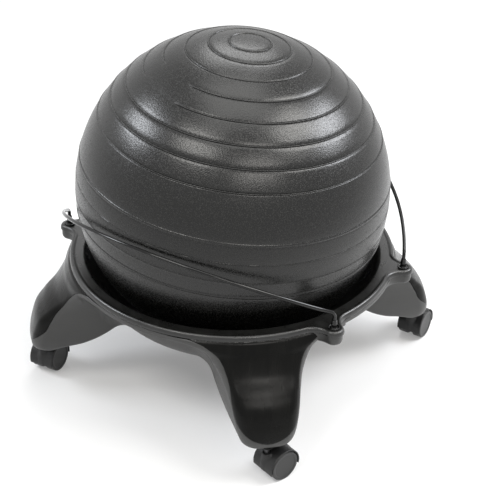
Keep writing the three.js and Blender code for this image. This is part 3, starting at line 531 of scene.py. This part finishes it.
def skin_of(value, axes):
    """The surface where a grid's values are zero: one point in each cell it crosses, and their faces."""
    step = axes[0][1] - axes[0][0]
    inside = value < 0
    n = np.array(value.shape) - 1
    corners = [(i, j, k) for i in (0, 1) for j in (0, 1) for k in (0, 1)]
    count = sum(inside[i:i + n[0], j:j + n[1], k:k + n[2]].astype(np.int8) for i, j, k in corners)
    cells = np.argwhere((count > 0) & (count < 8))
    ident = -np.ones(n, np.int64)
    ident[tuple(cells.T)] = np.arange(len(cells))
    total, hits = np.zeros((len(cells), 3)), np.zeros(len(cells))
    at_corner = {c: value[tuple((cells + c).T)] for c in corners}
    for c in corners:
        for d in range(3):
            if c[d]:
                continue
            e = tuple(1 if i == d else c[i] for i in range(3))
            a, b = at_corner[c], at_corner[e]
            cross = (a < 0) != (b < 0)
            share = np.where(cross, a / np.where(cross, a - b, 1), 0)
            spot = np.array(c, float)[None, :].repeat(len(cells), 0)
            spot[:, d] += share
            total += np.where(cross[:, None], spot, 0)
            hits += cross
    points = (cells + total / hits[:, None]) * step + np.array([a[0] for a in axes])
    quads = []
    for d in range(3):
        others = [i for i in range(3) if i != d]
        near = [slice(1, n[i]) for i in range(3)]
        near[d] = slice(0, n[d])
        far = list(near)
        far[d] = slice(1, n[d] + 1)
        first, second = inside[tuple(near)], inside[tuple(far)]
        edges = np.argwhere(first != second)
        leaves = first[tuple(edges.T)]
        base = edges.copy()
        for i in others:
            base[:, i] += 1
        one, two = np.zeros(3, int), np.zeros(3, int)
        one[others[0]], two[others[1]] = 1, 1
        ring = np.stack([ident[tuple((base - one - two).T)], ident[tuple((base - two).T)],
                         ident[tuple(base.T)], ident[tuple((base - one).T)]], 1)
        keep = leaves if d != 1 else ~leaves
        ring[~keep] = ring[~keep][:, ::-1]
        quads.append(ring)
    return points, np.concatenate(quads)


def slope_of(form, points, reach=0.2):
    steps = np.eye(3) * reach
    return np.stack([(form(*(points + d).T) - form(*(points - d).T)) / (2 * reach) for d in steps], 1)


def settled(form, points, rounds=4, most=1.2):
    """Moves each point onto the form's surface."""
    for _ in range(rounds):
        slope = slope_of(form, points)
        move = -(form(*points.T) / np.maximum((slope**2).sum(1), 0.05))[:, None] * slope
        length = np.linalg.norm(move, axis=1, keepdims=True)
        points = points + move * np.minimum(1, most / np.maximum(length, 1e-9))
    return points


def trimmed(points, triangles, value):
    """Keeps the side of a skin where the value is below zero, and gives the cut's edges."""
    inside = value[triangles] < 0
    count = inside.sum(1)
    whole = triangles[count == 3]
    new_points, faces, cut_edges, made = [points], [whole], [], {}
    for amount in (1, 2):
        cut = triangles[count == amount]
        if not len(cut):
            continue
        odd = np.argmax(inside[count == amount] if amount == 1 else ~inside[count == amount], axis=1)
        cut = cut[np.arange(len(cut))[:, None], (odd[:, None] + np.arange(3)) % 3]
        made[amount] = cut
    pairs = np.concatenate([np.sort(np.concatenate([c[:, [0, 1]], c[:, [0, 2]]]), 1) for c in made.values()])
    unique, where = np.unique(pairs, axis=0, return_inverse=True)
    where = where.reshape(-1) + len(points)
    share = (value[unique[:, 0]] / (value[unique[:, 0]] - value[unique[:, 1]]))[:, None]
    new_points.append(points[unique[:, 0]] * (1 - share) + points[unique[:, 1]] * share)
    at = 0
    for amount, cut in made.items():
        first = where[at:at + len(cut)]
        second = where[at + len(cut):at + 2 * len(cut)]
        at += 2 * len(cut)
        if amount == 1:
            faces.append(np.stack([cut[:, 0], first, second], 1))
            cut_edges.append(np.stack([first, second], 1))
        else:
            faces.append(np.stack([cut[:, 1], cut[:, 2], second], 1))
            faces.append(np.stack([cut[:, 1], second, first], 1))
            cut_edges.append(np.stack([second, first], 1))
    points, faces = np.concatenate(new_points), np.concatenate(faces)
    return points, faces, np.concatenate(cut_edges)


def compact(points, faces, edges):
    used = np.unique(faces)
    renumber = -np.ones(len(points), np.int64)
    renumber[used] = np.arange(len(used))
    return points[used], renumber[faces], renumber[edges]


seam_gap, seam_round, wall = 0.7, 0.5, 3.0


def walled(points, faces, edges, toward):
    """Turns the cut edge in through the wall, with its corner rounded."""
    rim = np.unique(edges)
    spot = points[rim]
    outward = slope_of(base_form, spot)
    outward /= np.linalg.norm(outward, axis=1, keepdims=True)
    side = toward(spot)
    side -= (side * outward).sum(1, keepdims=True) * outward
    side /= np.maximum(np.linalg.norm(side, axis=1, keepdims=True), 1e-6)
    rows = [rim]
    count = len(points)
    sheets = [points]
    for out, down in ((0.35, 0.15), (0.5, 0.5), (0.5, wall)):
        sheets.append(spot + side * out * seam_round * 2 - outward * down)
        rows.append(np.arange(len(rim)) + count)
        count += len(rim)
    place_of = np.full(len(points), -1)
    place_of[rim] = np.arange(len(rim))
    e = place_of[edges]
    quads = [np.stack([a[e[:, 1]], a[e[:, 0]], b[e[:, 0]], b[e[:, 1]]], 1) for a, b in zip(rows, rows[1:])]
    tri = np.concatenate([faces] + [q[:, [0, 1, 2]] for q in quads] + [q[:, [0, 2, 3]] for q in quads])
    return np.concatenate(sheets), tri


# The base's whole outer skin: one quarter of a grid, mirrored twice, gives it, and it is then cut in two
# a little to each side of the seam.
cell = 2.5
across_axis = np.arange(0, 146.5) * cell
height_axis = np.arange(58.75, 231, cell)
quarter = base_form(*np.meshgrid(across_axis, across_axis, height_axis, indexing="ij")).astype(np.float32)
half = np.concatenate([quarter[:0:-1], quarter], 0)
whole = np.concatenate([half[:, :0:-1], half], 1)
full_axis = np.concatenate([-across_axis[:0:-1], across_axis])
skin_points, skin_quads = skin_of(whole, [full_axis, full_axis, height_axis])
skin_points = settled(base_form, skin_points)
skin_triangles = np.concatenate([skin_quads[:, [0, 1, 2]], skin_quads[:, [0, 2, 3]]])
middle = skin_points[skin_triangles].mean(1)
radius_there = np.hypot(middle[:, 0], middle[:, 1])
behind_there = read_off(behind_bowl, radius_there)[0]
hidden = middle[:, 2] > behind_there - 0.6
skin_triangles = skin_triangles[~hidden]
seam_there = seam_form(*skin_points.T)

cut_back = seam_gap / 2 + seam_round
upper_points, upper_faces, upper_edges = compact(*trimmed(skin_points, skin_triangles, seam_there + cut_back))
upper_points, upper_faces = walled(upper_points, upper_faces, upper_edges, lambda p: slope_of(seam_form, p))
lower_points, lower_faces, lower_edges = compact(*trimmed(skin_points, skin_triangles, cut_back - seam_there))
lower_points, lower_faces = walled(lower_points, lower_faces, lower_edges, lambda p: -slope_of(seam_form, p))
# A round hole in each foot's sole takes the caster's sleeve.
caster_circle, socket_radius, socket_lip = 332.0, 8.0, 8.0
caster_aside = caster_circle / math.sqrt(2)
from_socket = np.hypot(*(np.abs(lower_points[:, :2]) - caster_aside).T)
in_sole = lower_points[:, 2] < foot_height + 6
lower_points, lower_faces, hole_edges = compact(*trimmed(
    lower_points, lower_faces, np.where(in_sole, socket_radius - from_socket, -1.0)))
hole_rim, hole_place = np.unique(hole_edges, return_inverse=True)
hole_place = hole_place.reshape(hole_edges.shape) + len(lower_points)
lower_faces = np.concatenate([
    lower_faces, np.stack([hole_edges[:, 1], hole_edges[:, 0], hole_place[:, 0]], 1),
    np.stack([hole_edges[:, 1], hole_place[:, 0], hole_place[:, 1]], 1)])
lower_points = np.concatenate([lower_points, lower_points[hole_rim] + [0, 0, socket_lip]])


def softened(corners, steps=4):
    """A closed outline whose corners, written as (a, b, radius), are rounded."""
    corners = [tuple(map(float, c)) for c in corners]
    out = []
    for i, (a, b, radius) in enumerate(corners):
        here = np.array([a, b])
        before, after = np.array(corners[i - 1][:2]), np.array(corners[(i + 1) % len(corners)][:2])
        if radius <= 0:
            out.append(here)
            continue
        u, v = before - here, after - here
        lu, lv = np.linalg.norm(u), np.linalg.norm(v)
        u, v = u / lu, v / lv
        half_angle = math.acos(max(-1, min(1, float(u @ v)))) / 2
        back = min(radius / math.tan(half_angle), lu * 0.48, lv * 0.48)
        first, last = here + u * back, here + v * back
        for k in range(steps + 1):
            t = k / steps
            out.append((1 - t)**2 * first + 2 * t * (1 - t) * here + t**2 * last)
    return np.array(out)


def joined(*parts):
    """Several (points, faces) as one."""
    points, faces, count = [], [], 0
    for some_points, some_faces in parts:
        points.append(np.asarray(some_points, float))
        faces += [tuple(int(i) + count for i in f) for f in some_faces]
        count += len(some_points)
    return np.concatenate(points), faces


ear_bearings = [-22.1, 22.1, 157.9, 202.1]
ear_circle, ear_end, ear_blend = 291.0, 16.5, 28.0


def ear_plan(inset, steps=14):
    """One ear's edge from the rim out round its end and back: a hollow curve, a round end, a hollow curve."""
    rim, end, blend = rim_radius - inset, ear_end - inset, ear_blend + inset
    turn = math.acos(((rim + blend)**2 + ear_circle**2 - (end + blend)**2) / (2 * (rim + blend) * ear_circle))
    hollow = np.array([(rim + blend) * cos(turn), (rim + blend) * sin(turn)])
    end_turn = math.atan2(hollow[1], hollow[0] - ear_circle)
    a = np.linspace(math.pi + turn, math.pi + end_turn, steps)[:, None]
    b = np.linspace(end_turn, 0, steps)[:, None]
    side = np.concatenate([
        hollow + blend * np.concatenate([np.cos(a), np.sin(a)], 1),
        np.array([ear_circle, 0]) + end * np.concatenate([np.cos(b), np.sin(b)], 1)[1:]])
    return np.concatenate([side[:-1] * [1, -1], side[::-1]])


def rim_plan(inset):
    """The whole rim's edge with its four ears."""
    ear = ear_plan(inset)
    start = math.atan2(*ear[-1][::-1])
    rows = []
    for bearing, following in zip(ear_bearings, ear_bearings[1:] + [ear_bearings[0] + 360]):
        a = radians(bearing)
        rows.append(ear @ np.array([[cos(a), sin(a)], [-sin(a), cos(a)]]))
        first, last = a + start, radians(following) - start
        steps = int(round(math.degrees(last - first) / 1.5)) + 1
        between = np.linspace(first, last, steps)[1:-1, None]
        rows.append((rim_radius - inset) * np.concatenate([np.cos(between), np.sin(between)], 1))
    return np.concatenate(rows)


def ringed(rings):
    """Joins outlines of the same count, each [x, y, z] rows, into a closed tube of skin."""
    return np.concatenate(rings), bands(len(rings), len(rings[0]), True)


def at_height(outline, height):
    return np.c_[outline, np.full(len(outline), float(height))]


seat_radius, seat_gap = 158.0, 1.1
seat_slope = math.asin(seat_radius / ball_radius)
seat_foot = ball_centre[2] - (ball_radius + seat_gap) * cos(seat_slope)


def seat_height(radius):
    return seat_foot + (radius - seat_radius) * math.tan(seat_slope)


bowl_inside = softened([
    (275, 215, 0), (153.5, 119.5, 0), (150, 119.5, 1), (150, seat_height(150), 2),
    (214, seat_height(214), 12), (231.5, 198.1, 8), (242, 211.9, 8), (246.9, 223.3, 4), (251.5, 228, 4),
    (275, 228, 0)])[1:-1]
bowl_outside = softened([
    (275, 228, 0), (262, 224, 0), (254, 224, 2), (250, 218, 4), (245, 208, 6), (234, 194, 6), (214, 174.5, 8),
    (153.5, 128.3, 0), (275, 100, 0)])[1:-1]
# The bead and the lip, as (in from the edge, height), from the flange's flat out and down and back.
bead_edge = [
    (10.6, 228), (9.6, 228.12), (8.6, 228.5), (7.6, 229.05), (6.7, 229.55), (5.8, 229.9), (4.9, 230.08),
    (4.0, 230.0), (3.1, 229.65), (2.25, 229.0), (1.5, 228.1), (0.9, 227.0), (0.42, 225.7), (0.12, 224.3),
    (0, 222.9), (0.03, 222.0), (0.2, 221.55), (0.6, 221.35), (3.5, 221.35), (3.5, 224)]
edge_plan = rim_plan(0)
edge_bearings = np.arctan2(edge_plan[:, 1], edge_plan[:, 0])
edge_facing = np.stack([np.cos(edge_bearings), np.sin(edge_bearings)], 1)
bowl_rings = [at_height(edge_facing * r, z) for r, z in bowl_inside]
bead_rings = [at_height(rim_plan(inset), z) for inset, z in bead_edge]
back_rings = [at_height(edge_facing * r, z) for r, z in bowl_outside]
bowl_points, bowl_faces = ringed(bowl_rings + bead_rings + back_rings)

# The bosses under the ears, each with a small hole in its flank.
boss_edge = [
    (7.5, 203.6), (5.2, 204.3), (3.6, 205.6), (2.6, 207.4), (2.1, 209.8), (2, 212), (2, 219.6),
    (2.2, 220.3), (2.7, 220.65)]


def spun(points, bearing, out=0.0):
    """Moves points out along X, then turns them about the chair's middle."""
    a = radians(bearing)
    spin = np.array([[cos(a), -sin(a), 0], [sin(a), cos(a), 0], [0, 0, 1]])
    return (np.asarray(points, float) + [out, 0, 0]) @ spin.T


def block(rings):
    """A solid from outlines of the same count, one behind the other, with its two ends closed."""
    corners = tuple(range(len(rings[0])))
    last = (len(rings) - 1) * len(corners)
    faces = bands(len(rings), len(corners)) + [corners[::-1], tuple(last + k for k in corners)]
    return np.concatenate(rings), faces


def boss_plan(inset):
    ear = ear_plan(inset)
    root = np.array([[264.0, ear[0][1]], [264.0, ear[-1][1]]])
    return np.concatenate([root[:1], ear, root[1:]])


boss_rings = [at_height(boss_plan(inset), z) for inset, z in boss_edge]
vent_radius, vent_out, vent_height, slot_out, slot_height = 1.7, 292.5, 212.4, 285.4, 214.6


def vent_rings(side):
    """A small hole in a boss's flank, tapering to a slot on the rim's side."""
    rings = []
    for depth, size in ((9.5, 0.7), (16.0, 1.15)):
        a = np.linspace(-2.2, 2.2, 17)
        radius = vent_radius * size
        outline = np.c_[vent_out + radius * np.cos(a), vent_height + radius * np.sin(a)]
        slot = [[slot_out, slot_height + 0.25 * size], [slot_out, slot_height - 0.25 * size]]
        outline = np.concatenate([outline, slot])
        rings.append(np.c_[outline[:, 0], np.full(len(outline), side * depth), outline[:, 1]])
    return rings


bosses = []
for bearing in ear_bearings:
    side = -1 if bearing % 180 < 90 else 1
    boss_points, boss_faces = block(boss_rings)
    vent_points, vent_faces = block(vent_rings(side))
    if side < 0:
        vent_faces = [f[::-1] for f in vent_faces]
    boss_points, boss_faces = carved(boss_points, boss_faces, vent_points, vent_faces)
    bosses.append((spun(boss_points, bearing), boss_faces))


# The rim and the bowl are satin. The fronts of the legs are glossier, and their copy of the same plastic is
# given a darker colour and a far weaker reflection, as painted shade.
def upper_finish(name, specular, dark, marked, roughness):
    material, tree, shader, place = plain_material(name, dark, marked, roughness, specular)
    surface = placed(tree, grain, place, Grains_per_metre=1100.0)
    rubs = placed(tree, rubbing, place, Streaks_per_metre=45.0, Lean=0.7)
    streaks = rubs.outputs["Streaks"]
    marks = maths(tree, "ADD", maths(tree, "MULTIPLY", streaks, 0.35), rubs.outputs["Scratches"])
    toned(tree, shader, marks, dark, marked, streaks, roughness, 0.12)
    bumped(tree, shader, surface.outputs["Height"], 0.12, 0.0003)
    return material


def mottled_finish(name, dark, light, roughness, spread, specular, grains, strength, depth, metallic=0.0):
    """A finish of two tones in slow patches, under a fine grain of its own size and depth."""
    material, tree, shader, place = plain_material(name, dark, light, roughness, specular)
    shader.inputs["Metallic"].default_value = metallic
    surface = placed(tree, grain, place, Grains_per_metre=grains)
    patches = surface.outputs["Mottle"]
    toned(tree, shader, patches, dark, light, patches, roughness, spread)
    bumped(tree, shader, surface.outputs["Height"], strength, depth)
    return material


satin_plastic = upper_finish("satin_plastic", 0.6, (0.005, 0.005, 0.0046), (0.013, 0.013, 0.012), 0.27)
# The legs' fronts: a darker copy of the rim's plastic that reflects far less, painted shade.
glossy_shaded_plastic = upper_finish(
    "glossy_shaded_plastic", 0.13, (0.0012, 0.0012, 0.0009), (0.007, 0.0068, 0.0058), 0.2)
# The lower moulding is the same black plastic given a lighter colour, painted light for the lit sides of the
# legs. Its slow patches are random tone, and it is rougher.
painted_light_lower_plastic = mottled_finish(
    "painted_light_lower_plastic", (0.018, 0.018, 0.0172), (0.03, 0.03, 0.029), 0.38, 0.1, 0.6, 900.0, 0.25, 0.0004)

upper = joined((upper_points, upper_faces), (bowl_points, bowl_faces))
upper_moulding = link_piece(
    "upper_moulding", *upper, satin_plastic, "base", "shell", ["base_upper_shell"], 50)
upper_moulding.data.materials.append(glossy_shaded_plastic)
for face in upper_moulding.data.polygons:
    on_leg = face.center.z < (seam_height + 0.3) * MM and face.center.xy.length > (rim_radius - 3) * MM
    face.material_index = int(on_leg)
lower = joined((lower_points, lower_faces), *bosses)
link_piece("lower_moulding", *lower, painted_light_lower_plastic, "base", "shell", ["base_lower_shell"], 50)

# Screws
# Eight zinc-plated pan-head screws join the two mouldings. They are driven up through the
# underside of the skirt, where only their cross-slotted heads show.
plated_steel = mottled_finish(
    "plated_steel", (0.5, 0.51, 0.52), (0.68, 0.69, 0.7), 0.25, 0.12, 0.5, 2500.0, 0.12, 0.0001, 1.0)

screw_circle, screw_aside, underside_height = 258.0, 9, 211.0
screw_head_radius, screw_shank_radius, screw_length = 4.2, 1.9, 10.0
thread_root, thread_pitch = 1.45, 1.4
head_top = underside_height - 0.3

head_points, head_faces = turned(softened([
    (0, head_top - 2.4, 0), (3.0, head_top - 2.4, 1.2), (screw_head_radius, head_top - 1.3, 0.6),
    (screw_head_radius, head_top, 0), (0, head_top, 0)]), 40)
arm, reach = 0.55, 2.4
cross = np.array([
    (arm, arm), (arm, reach), (-arm, reach), (-arm, arm), (-reach, arm), (-reach, -arm),
    (-arm, -arm), (-arm, -reach), (arm, -reach), (arm, -arm), (reach, -arm), (reach, arm)])
recess = block([at_height(cross, head_top - 3), at_height(cross * 0.85, head_top - 1.2)])
head_points, head_faces = carved(head_points, head_faces, *recess)
thread_rows = [(0, head_top - 0.2, 0), (screw_shank_radius, head_top - 0.2, 0)]
for turn_of in range(6):
    low = head_top + 1.2 + turn_of * thread_pitch
    thread_rows += [(thread_root, low, 0), (screw_shank_radius, low + 0.5, 0), (thread_root, low + 1.0, 0)]
thread_rows += [(1.3, head_top + screw_length, 0.3), (0, head_top + screw_length, 0)]
thread = turned(softened(thread_rows, 2), 20)
screw_points, screw_faces = joined((head_points, head_faces), thread)
for i in range(8):
    bearing = 90 * (i // 2) + (screw_aside if i % 2 else -screw_aside)
    link_piece(f"screw_{i + 1}", spun(screw_points, bearing, screw_circle), screw_faces, plated_steel, "base",
               "steel", [f"shell_screw_{i + 1}"], 35)

# Retaining rods
# Two 6 mm steel rods with a gloss black coat. Each stands in two ears, bends over above them and
# runs in one flat bow round the ball, and its plane leans up and out.
rod_radius, rod_foot, rod_corner, rod_bend = 3.0, rim_height - 14, rim_height + 28.5, 8.0
ear_x, ear_y = ear_circle * cos(radians(ear_bearings[1])), ear_circle * sin(radians(ear_bearings[1]))
bow_reach = ball_radius + 4 + rod_radius
bow_centre = (bow_reach**2 - ear_circle**2) / (2 * (ear_y - bow_reach))
bow_radius = bow_reach + bow_centre
bow_start = math.atan2(ear_y + bow_centre, ear_x) + rod_bend / bow_radius
bow_slope = math.tan(radians(32.2))


def bow_place(angle):
    x, y = bow_radius * cos(angle), bow_radius * sin(angle) - bow_centre
    return np.array([x, y, rod_corner + bow_slope * (y - ear_y)])


def bent(first, corner, last, steps):
    t = np.linspace(0, 1, steps)[:, None]
    return (1 - t)**2 * first + 2 * t * (1 - t) * corner + t**2 * last


def rod_route():
    corner = np.array([ear_x, ear_y, rod_corner])
    below = corner - [0, 0, rod_bend]
    rise = np.linspace([ear_x, ear_y, rod_foot], below, 6)
    bow = np.array([bow_place(a) for a in np.linspace(bow_start, math.pi - bow_start, 121)])
    half_route = np.concatenate([rise[:-1], bent(below, corner, bow[0], 12)[:-1]])
    return np.concatenate([half_route, bow, half_route[::-1] * [-1, 1, 1]])


def tube(route, radius, sides=20):
    """A round bar along a route, with slightly rounded ends."""
    along = np.gradient(route, axis=0)
    along /= np.linalg.norm(along, axis=1, keepdims=True)
    side = np.cross(along[0], [0.3, 0.5, 0.1])
    rings = []
    turns = np.arange(sides) * 2 * math.pi / sides
    for i, spot in enumerate(route):
        side = side - (side @ along[i]) * along[i]
        side /= np.linalg.norm(side)
        other = np.cross(along[i], side)
        rings.append(spot + radius * (np.cos(turns)[:, None] * side + np.sin(turns)[:, None] * other))
    first = route[0] - along[0] * 0.5 + (rings[0] - route[0]) * 0.8
    last = route[-1] + along[-1] * 0.5 + (rings[-1] - route[-1]) * 0.8
    return block([first] + rings + [last])


rod_coat = mottled_finish(
    "rod_coat", (0.002, 0.002, 0.002), (0.004, 0.004, 0.004), 0.09, 0.05, 0.35, 400.0, 0.06, 0.0002)
rod_points, rod_faces = tube(rod_route(), rod_radius)
mirrored_faces = [f[::-1] for f in rod_faces]
link_piece("rear_rod", rod_points, rod_faces, rod_coat, "rear_rod", "rod", ["rear_retaining_rod"], 50)
link_piece("front_rod", rod_points * [1, -1, 1], mirrored_faces, rod_coat, "front_rod", "rod",
           ["front_retaining_rod"], 50)

# Grommets
# A black rubber grommet sits in each ear: a barrel in the hole, a dished flange on the flat and a
# tapered sleeve that grips the rod.
grommet_section = softened([
    (3.3, 214, 0.3), (5, 214, 0.4), (5, 228.4, 0), (8.2, 228.35, 0.3), (9, 229.3, 0.5), (9, 231, 0.5),
    (8.1, 231.2, 0.4), (7.4, 230.1, 0.8), (5.6, 230.1, 0.8), (4.7, 232, 1.0), (4.45, 236, 0),
    (4.9, 236.6, 0.3), (4.7, 238, 0.3), (4.1, 244.2, 0.4), (3.3, 244.7, 0.3)])
grommet_rubber = mottled_finish(
    "grommet_rubber", (0.003, 0.003, 0.003), (0.007, 0.007, 0.007), 0.2, 0.08, 0.4, 1800.0, 0.15, 0.0002)
grommet_points, grommet_faces = turned(grommet_section, 40)
corner_names = ["front_right", "rear_right", "rear_left", "front_left"]
for name, bearing in zip(corner_names, ear_bearings):
    link_piece(f"grommet_{name}", spun(grommet_points, bearing, ear_circle), grommet_faces, grommet_rubber,
               "base", "grommet", [f"rod_grommet_{name}"], 45)

# Valve plug
# A small moulded plug of soft rubber, pushed into the ball's filling hole. Its head is a thin dished
# cap, and two sealing rings on its shaft hold it in.
plug_top = ball_radius + 1.7
plug_section = softened([
    (0, plug_top - 13.4, 0), (1.6, plug_top - 13.4, 0.6), (3.0, plug_top - 11.4, 0.5),
    (2.7, plug_top - 9.2, 0.3), (3.05, plug_top - 8.4, 0.3), (2.7, plug_top - 7.4, 0.3),
    (3.05, plug_top - 6.2, 0.3), (2.8, plug_top - 1.4, 0), (5.5, plug_top - 1.4, 0.2),
    (5.2, plug_top - 0.5, 0.4), (3.9, plug_top, 0.5), (2.6, plug_top - 0.45, 0.6),
    (0, plug_top - 0.45, 0)])
plug_points, plug_faces = turned(plug_section, 36)
plug_points = lean_with_ball(plug_points @ np.array(to_valve).T)
plug_rubber = mottled_finish(
    "plug_rubber", (0.014, 0.014, 0.014), (0.03, 0.03, 0.03), 0.34, 0.1, 0.5, 2200.0, 0.2, 0.0002)
link_piece("plug", plug_points, plug_faces, plug_rubber, "valve_plug", "plug", ["valve_plug"], 45)

# Casters
# Under each foot a nylon sleeve grips a steel stem. The stem stands in a nylon hood, and two solid
# nylon wheels turn on one steel axle on both sides of the hood's web.
caster_bearings, caster_turns = [-45, 45, 135, 225], [-16, 3, -6, 9]
axle_back, axle_up = 20.0, 26 * cos(math.pi / 16)
wheel_near, wheel_far, wheel_size = 5.0, 22.0, 25.45
hood_inside, hood_outside, hood_reach, web_half = 27.0, 29.0, 22.3, 4.0
hood_lean = radians(14)
hood_drop = math.tan(hood_lean)
hood_edge, web_low, boss_radius, axle_bore, stem_gap = 0.8, 6.6, 7.5, 3.3, 0.3
boss_top = axle_up + math.sqrt(hood_outside**2 - axle_back**2) + 4
stem_low, stem_radius, stem_grip, stem_high = boss_top - 18, 4.0, 4.6, foot_height + 38 - 4.6


def on_caster(points, i):
    """Moves points from the swivel's own place to one corner's caster."""
    b = radians(caster_bearings[i])
    return spun(points, caster_turns[i]) + [caster_circle * cos(b), caster_circle * sin(b), 0]


def hood_form(x, y, z):
    """Below zero in the hood: a curved shroud, a web between the wheels and a round boss."""
    back, up = y - axle_back, z - axle_up
    out = np.hypot(back, up)
    open_below = -(up + hood_drop * np.abs(back)) * cos(hood_lean)
    shell = np.abs(out - (hood_inside + hood_outside) / 2) - 1
    shroud = rounded_edge(rounded_edge(shell, np.abs(x) - hood_reach, hood_edge), open_below, hood_edge)
    web = rounded_edge(out - hood_outside, np.abs(x) - web_half, hood_edge)
    web = rounded_edge(web, -(up + web_low), hood_edge)
    body = filled_corner(shroud, web, 1.6)
    stem_out = np.hypot(x, y)
    boss = rounded_edge(stem_out - boss_radius - 0.05 * (boss_top - z), z - boss_top, 1.4)
    boss = rounded_edge(boss, stem_low - 2 - z, hood_edge)
    body = filled_corner(body, boss, 3.0)
    room = rounded_edge(out - hood_inside, web_half - np.abs(x), 0.5)
    body = np.maximum(body, -room)
    body = np.maximum(body, -np.maximum(stem_out - stem_radius - stem_gap, stem_low - stem_gap - z))
    return np.maximum(body, axle_bore - out)


hood_cell = 1.15
hood_axes = [np.arange(a, b, hood_cell) for a, b in ((-24.15, 24.2), (-11.5, 52), (12, 60))]
hood_grid = hood_form(*np.meshgrid(*hood_axes, indexing="ij")).astype(np.float32)
hood_points, hood_quads = skin_of(hood_grid, hood_axes)
hood_points = settled(hood_form, hood_points, 3, 0.5)

hood_nylon = mottled_finish(
    "hood_nylon", (0.008, 0.0082, 0.0084), (0.013, 0.0132, 0.0134), 0.34, 0.1, 0.35, 1300.0, 0.2, 0.0003)
sleeve_nylon = mottled_finish(
    "sleeve_nylon", (0.011, 0.011, 0.011), (0.018, 0.018, 0.018), 0.44, 0.1, 0.35, 1600.0, 0.2, 0.0002)
# The stems and axles are steel given a very dark colour: painted shade for the shaded gap under each foot.
shaded_stem_steel = mottled_finish(
    "shaded_stem_steel", (0.045, 0.045, 0.047), (0.08, 0.08, 0.083), 0.35, 0.12, 0.5, 2500.0, 0.12, 0.0001, 1.0)

wheel_dark, wheel_worn = (0.024, 0.0242, 0.0245), (0.046, 0.0463, 0.0466)
wheel_nylon, tree, shader, place = plain_material("wheel_nylon", wheel_dark, wheel_worn, 0.42, 0.35)
wheel_grain = placed(tree, grain, place, Grains_per_metre=1100.0)
wheel_rubs = placed(tree, rubbing, place, Streaks_per_metre=140.0, Lean=1.3)
patches = wheel_grain.outputs["Mottle"]
wheel_marks = maths(tree, "ADD", maths(tree, "MULTIPLY", patches, 0.5), wheel_rubs.outputs["Scratches"])
toned(tree, shader, wheel_marks, wheel_dark, wheel_worn, patches, 0.36, 0.12)
bumped(tree, shader, wheel_grain.outputs["Height"], 0.2, 0.0003)

# A wheel's half profile, as (out from the axle, along it): a dished disc, a raised rim and a plain tread.
bore_end = wheel_near + 12.5
wheel_profile = softened([
    (0, wheel_far - 1.1, 0), (19.6, wheel_far - 1.1, 1.0), (21.0, wheel_far - 0.2, 0.8),
    (24.2, wheel_far, 0.8), (25.1, wheel_far - 0.5, 0.4), (wheel_size, wheel_far - 1.6, 0.6),
    (wheel_size, wheel_near + 1.4, 0.8), (wheel_size - 1.2, wheel_near, 0.6), (21.0, wheel_near, 0.4),
    (20.4, wheel_near + 1.6, 0.6), (8.4, wheel_near + 1.6, 0.6), (7.6, wheel_near, 0.4),
    (axle_bore, wheel_near, 0.2), (axle_bore, bore_end, 0), (0, bore_end, 0)])
wheel_points, wheel_faces = turned(wheel_profile[::-1], 72)
wheel_points = wheel_points[:, [2, 0, 1]] + [0, axle_back, axle_up]
sleeve_points, sleeve_faces = turned(softened([
    (4.7, 62.1, 0.4), (9.2, 62.1, 0.7), (10, 62.8, 0.4), (10, 63.7, 0), (7.2, 63.7, 0), (7.2, 101.5, 0.4),
    (4.7, 101.5, 0.4)]), 36)
stem_points, stem_faces = turned(softened([
    (0, stem_low, 0), (stem_radius, stem_low, 0.5), (stem_radius, stem_high - 12, 0.5),
    (stem_grip, stem_high - 8.4, 1), (stem_grip, stem_high - 3.6, 1), (stem_radius * 0.7, stem_high, 1),
    (0, stem_high, 0)]), 28)
left_faces = [f[::-1] for f in wheel_faces]

for i, corner in enumerate(corner_names):
    swivel = f"caster_{corner}"
    link_piece(f"sleeve_{corner}", on_caster(sleeve_points, i), sleeve_faces, sleeve_nylon, "base", "sleeve",
               [f"caster_sleeve_{corner}"], 40)
    link_piece(f"stem_{corner}", on_caster(stem_points, i), stem_faces, shaded_stem_steel, swivel, "steel",
               [f"caster_stem_{corner}"], 40)
    link_piece(f"hood_{corner}", on_caster(hood_points, i), hood_quads, hood_nylon, swivel, "hood",
               [f"caster_hood_{corner}"], 50)
    for hand, flip, faces in (("right", 1, wheel_faces), ("left", -1, left_faces)):
        wheel = f"wheel_{corner}_{hand}"
        link_piece(f"{wheel}_disc", on_caster(wheel_points * [flip, 1, 1], i), faces, wheel_nylon, wheel,
                   "wheel", [wheel], 45)
    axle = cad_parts[f"caster_axle_{corner}"]
    axle.data.materials.clear()
    axle.data.materials.append(shaded_stem_steel)
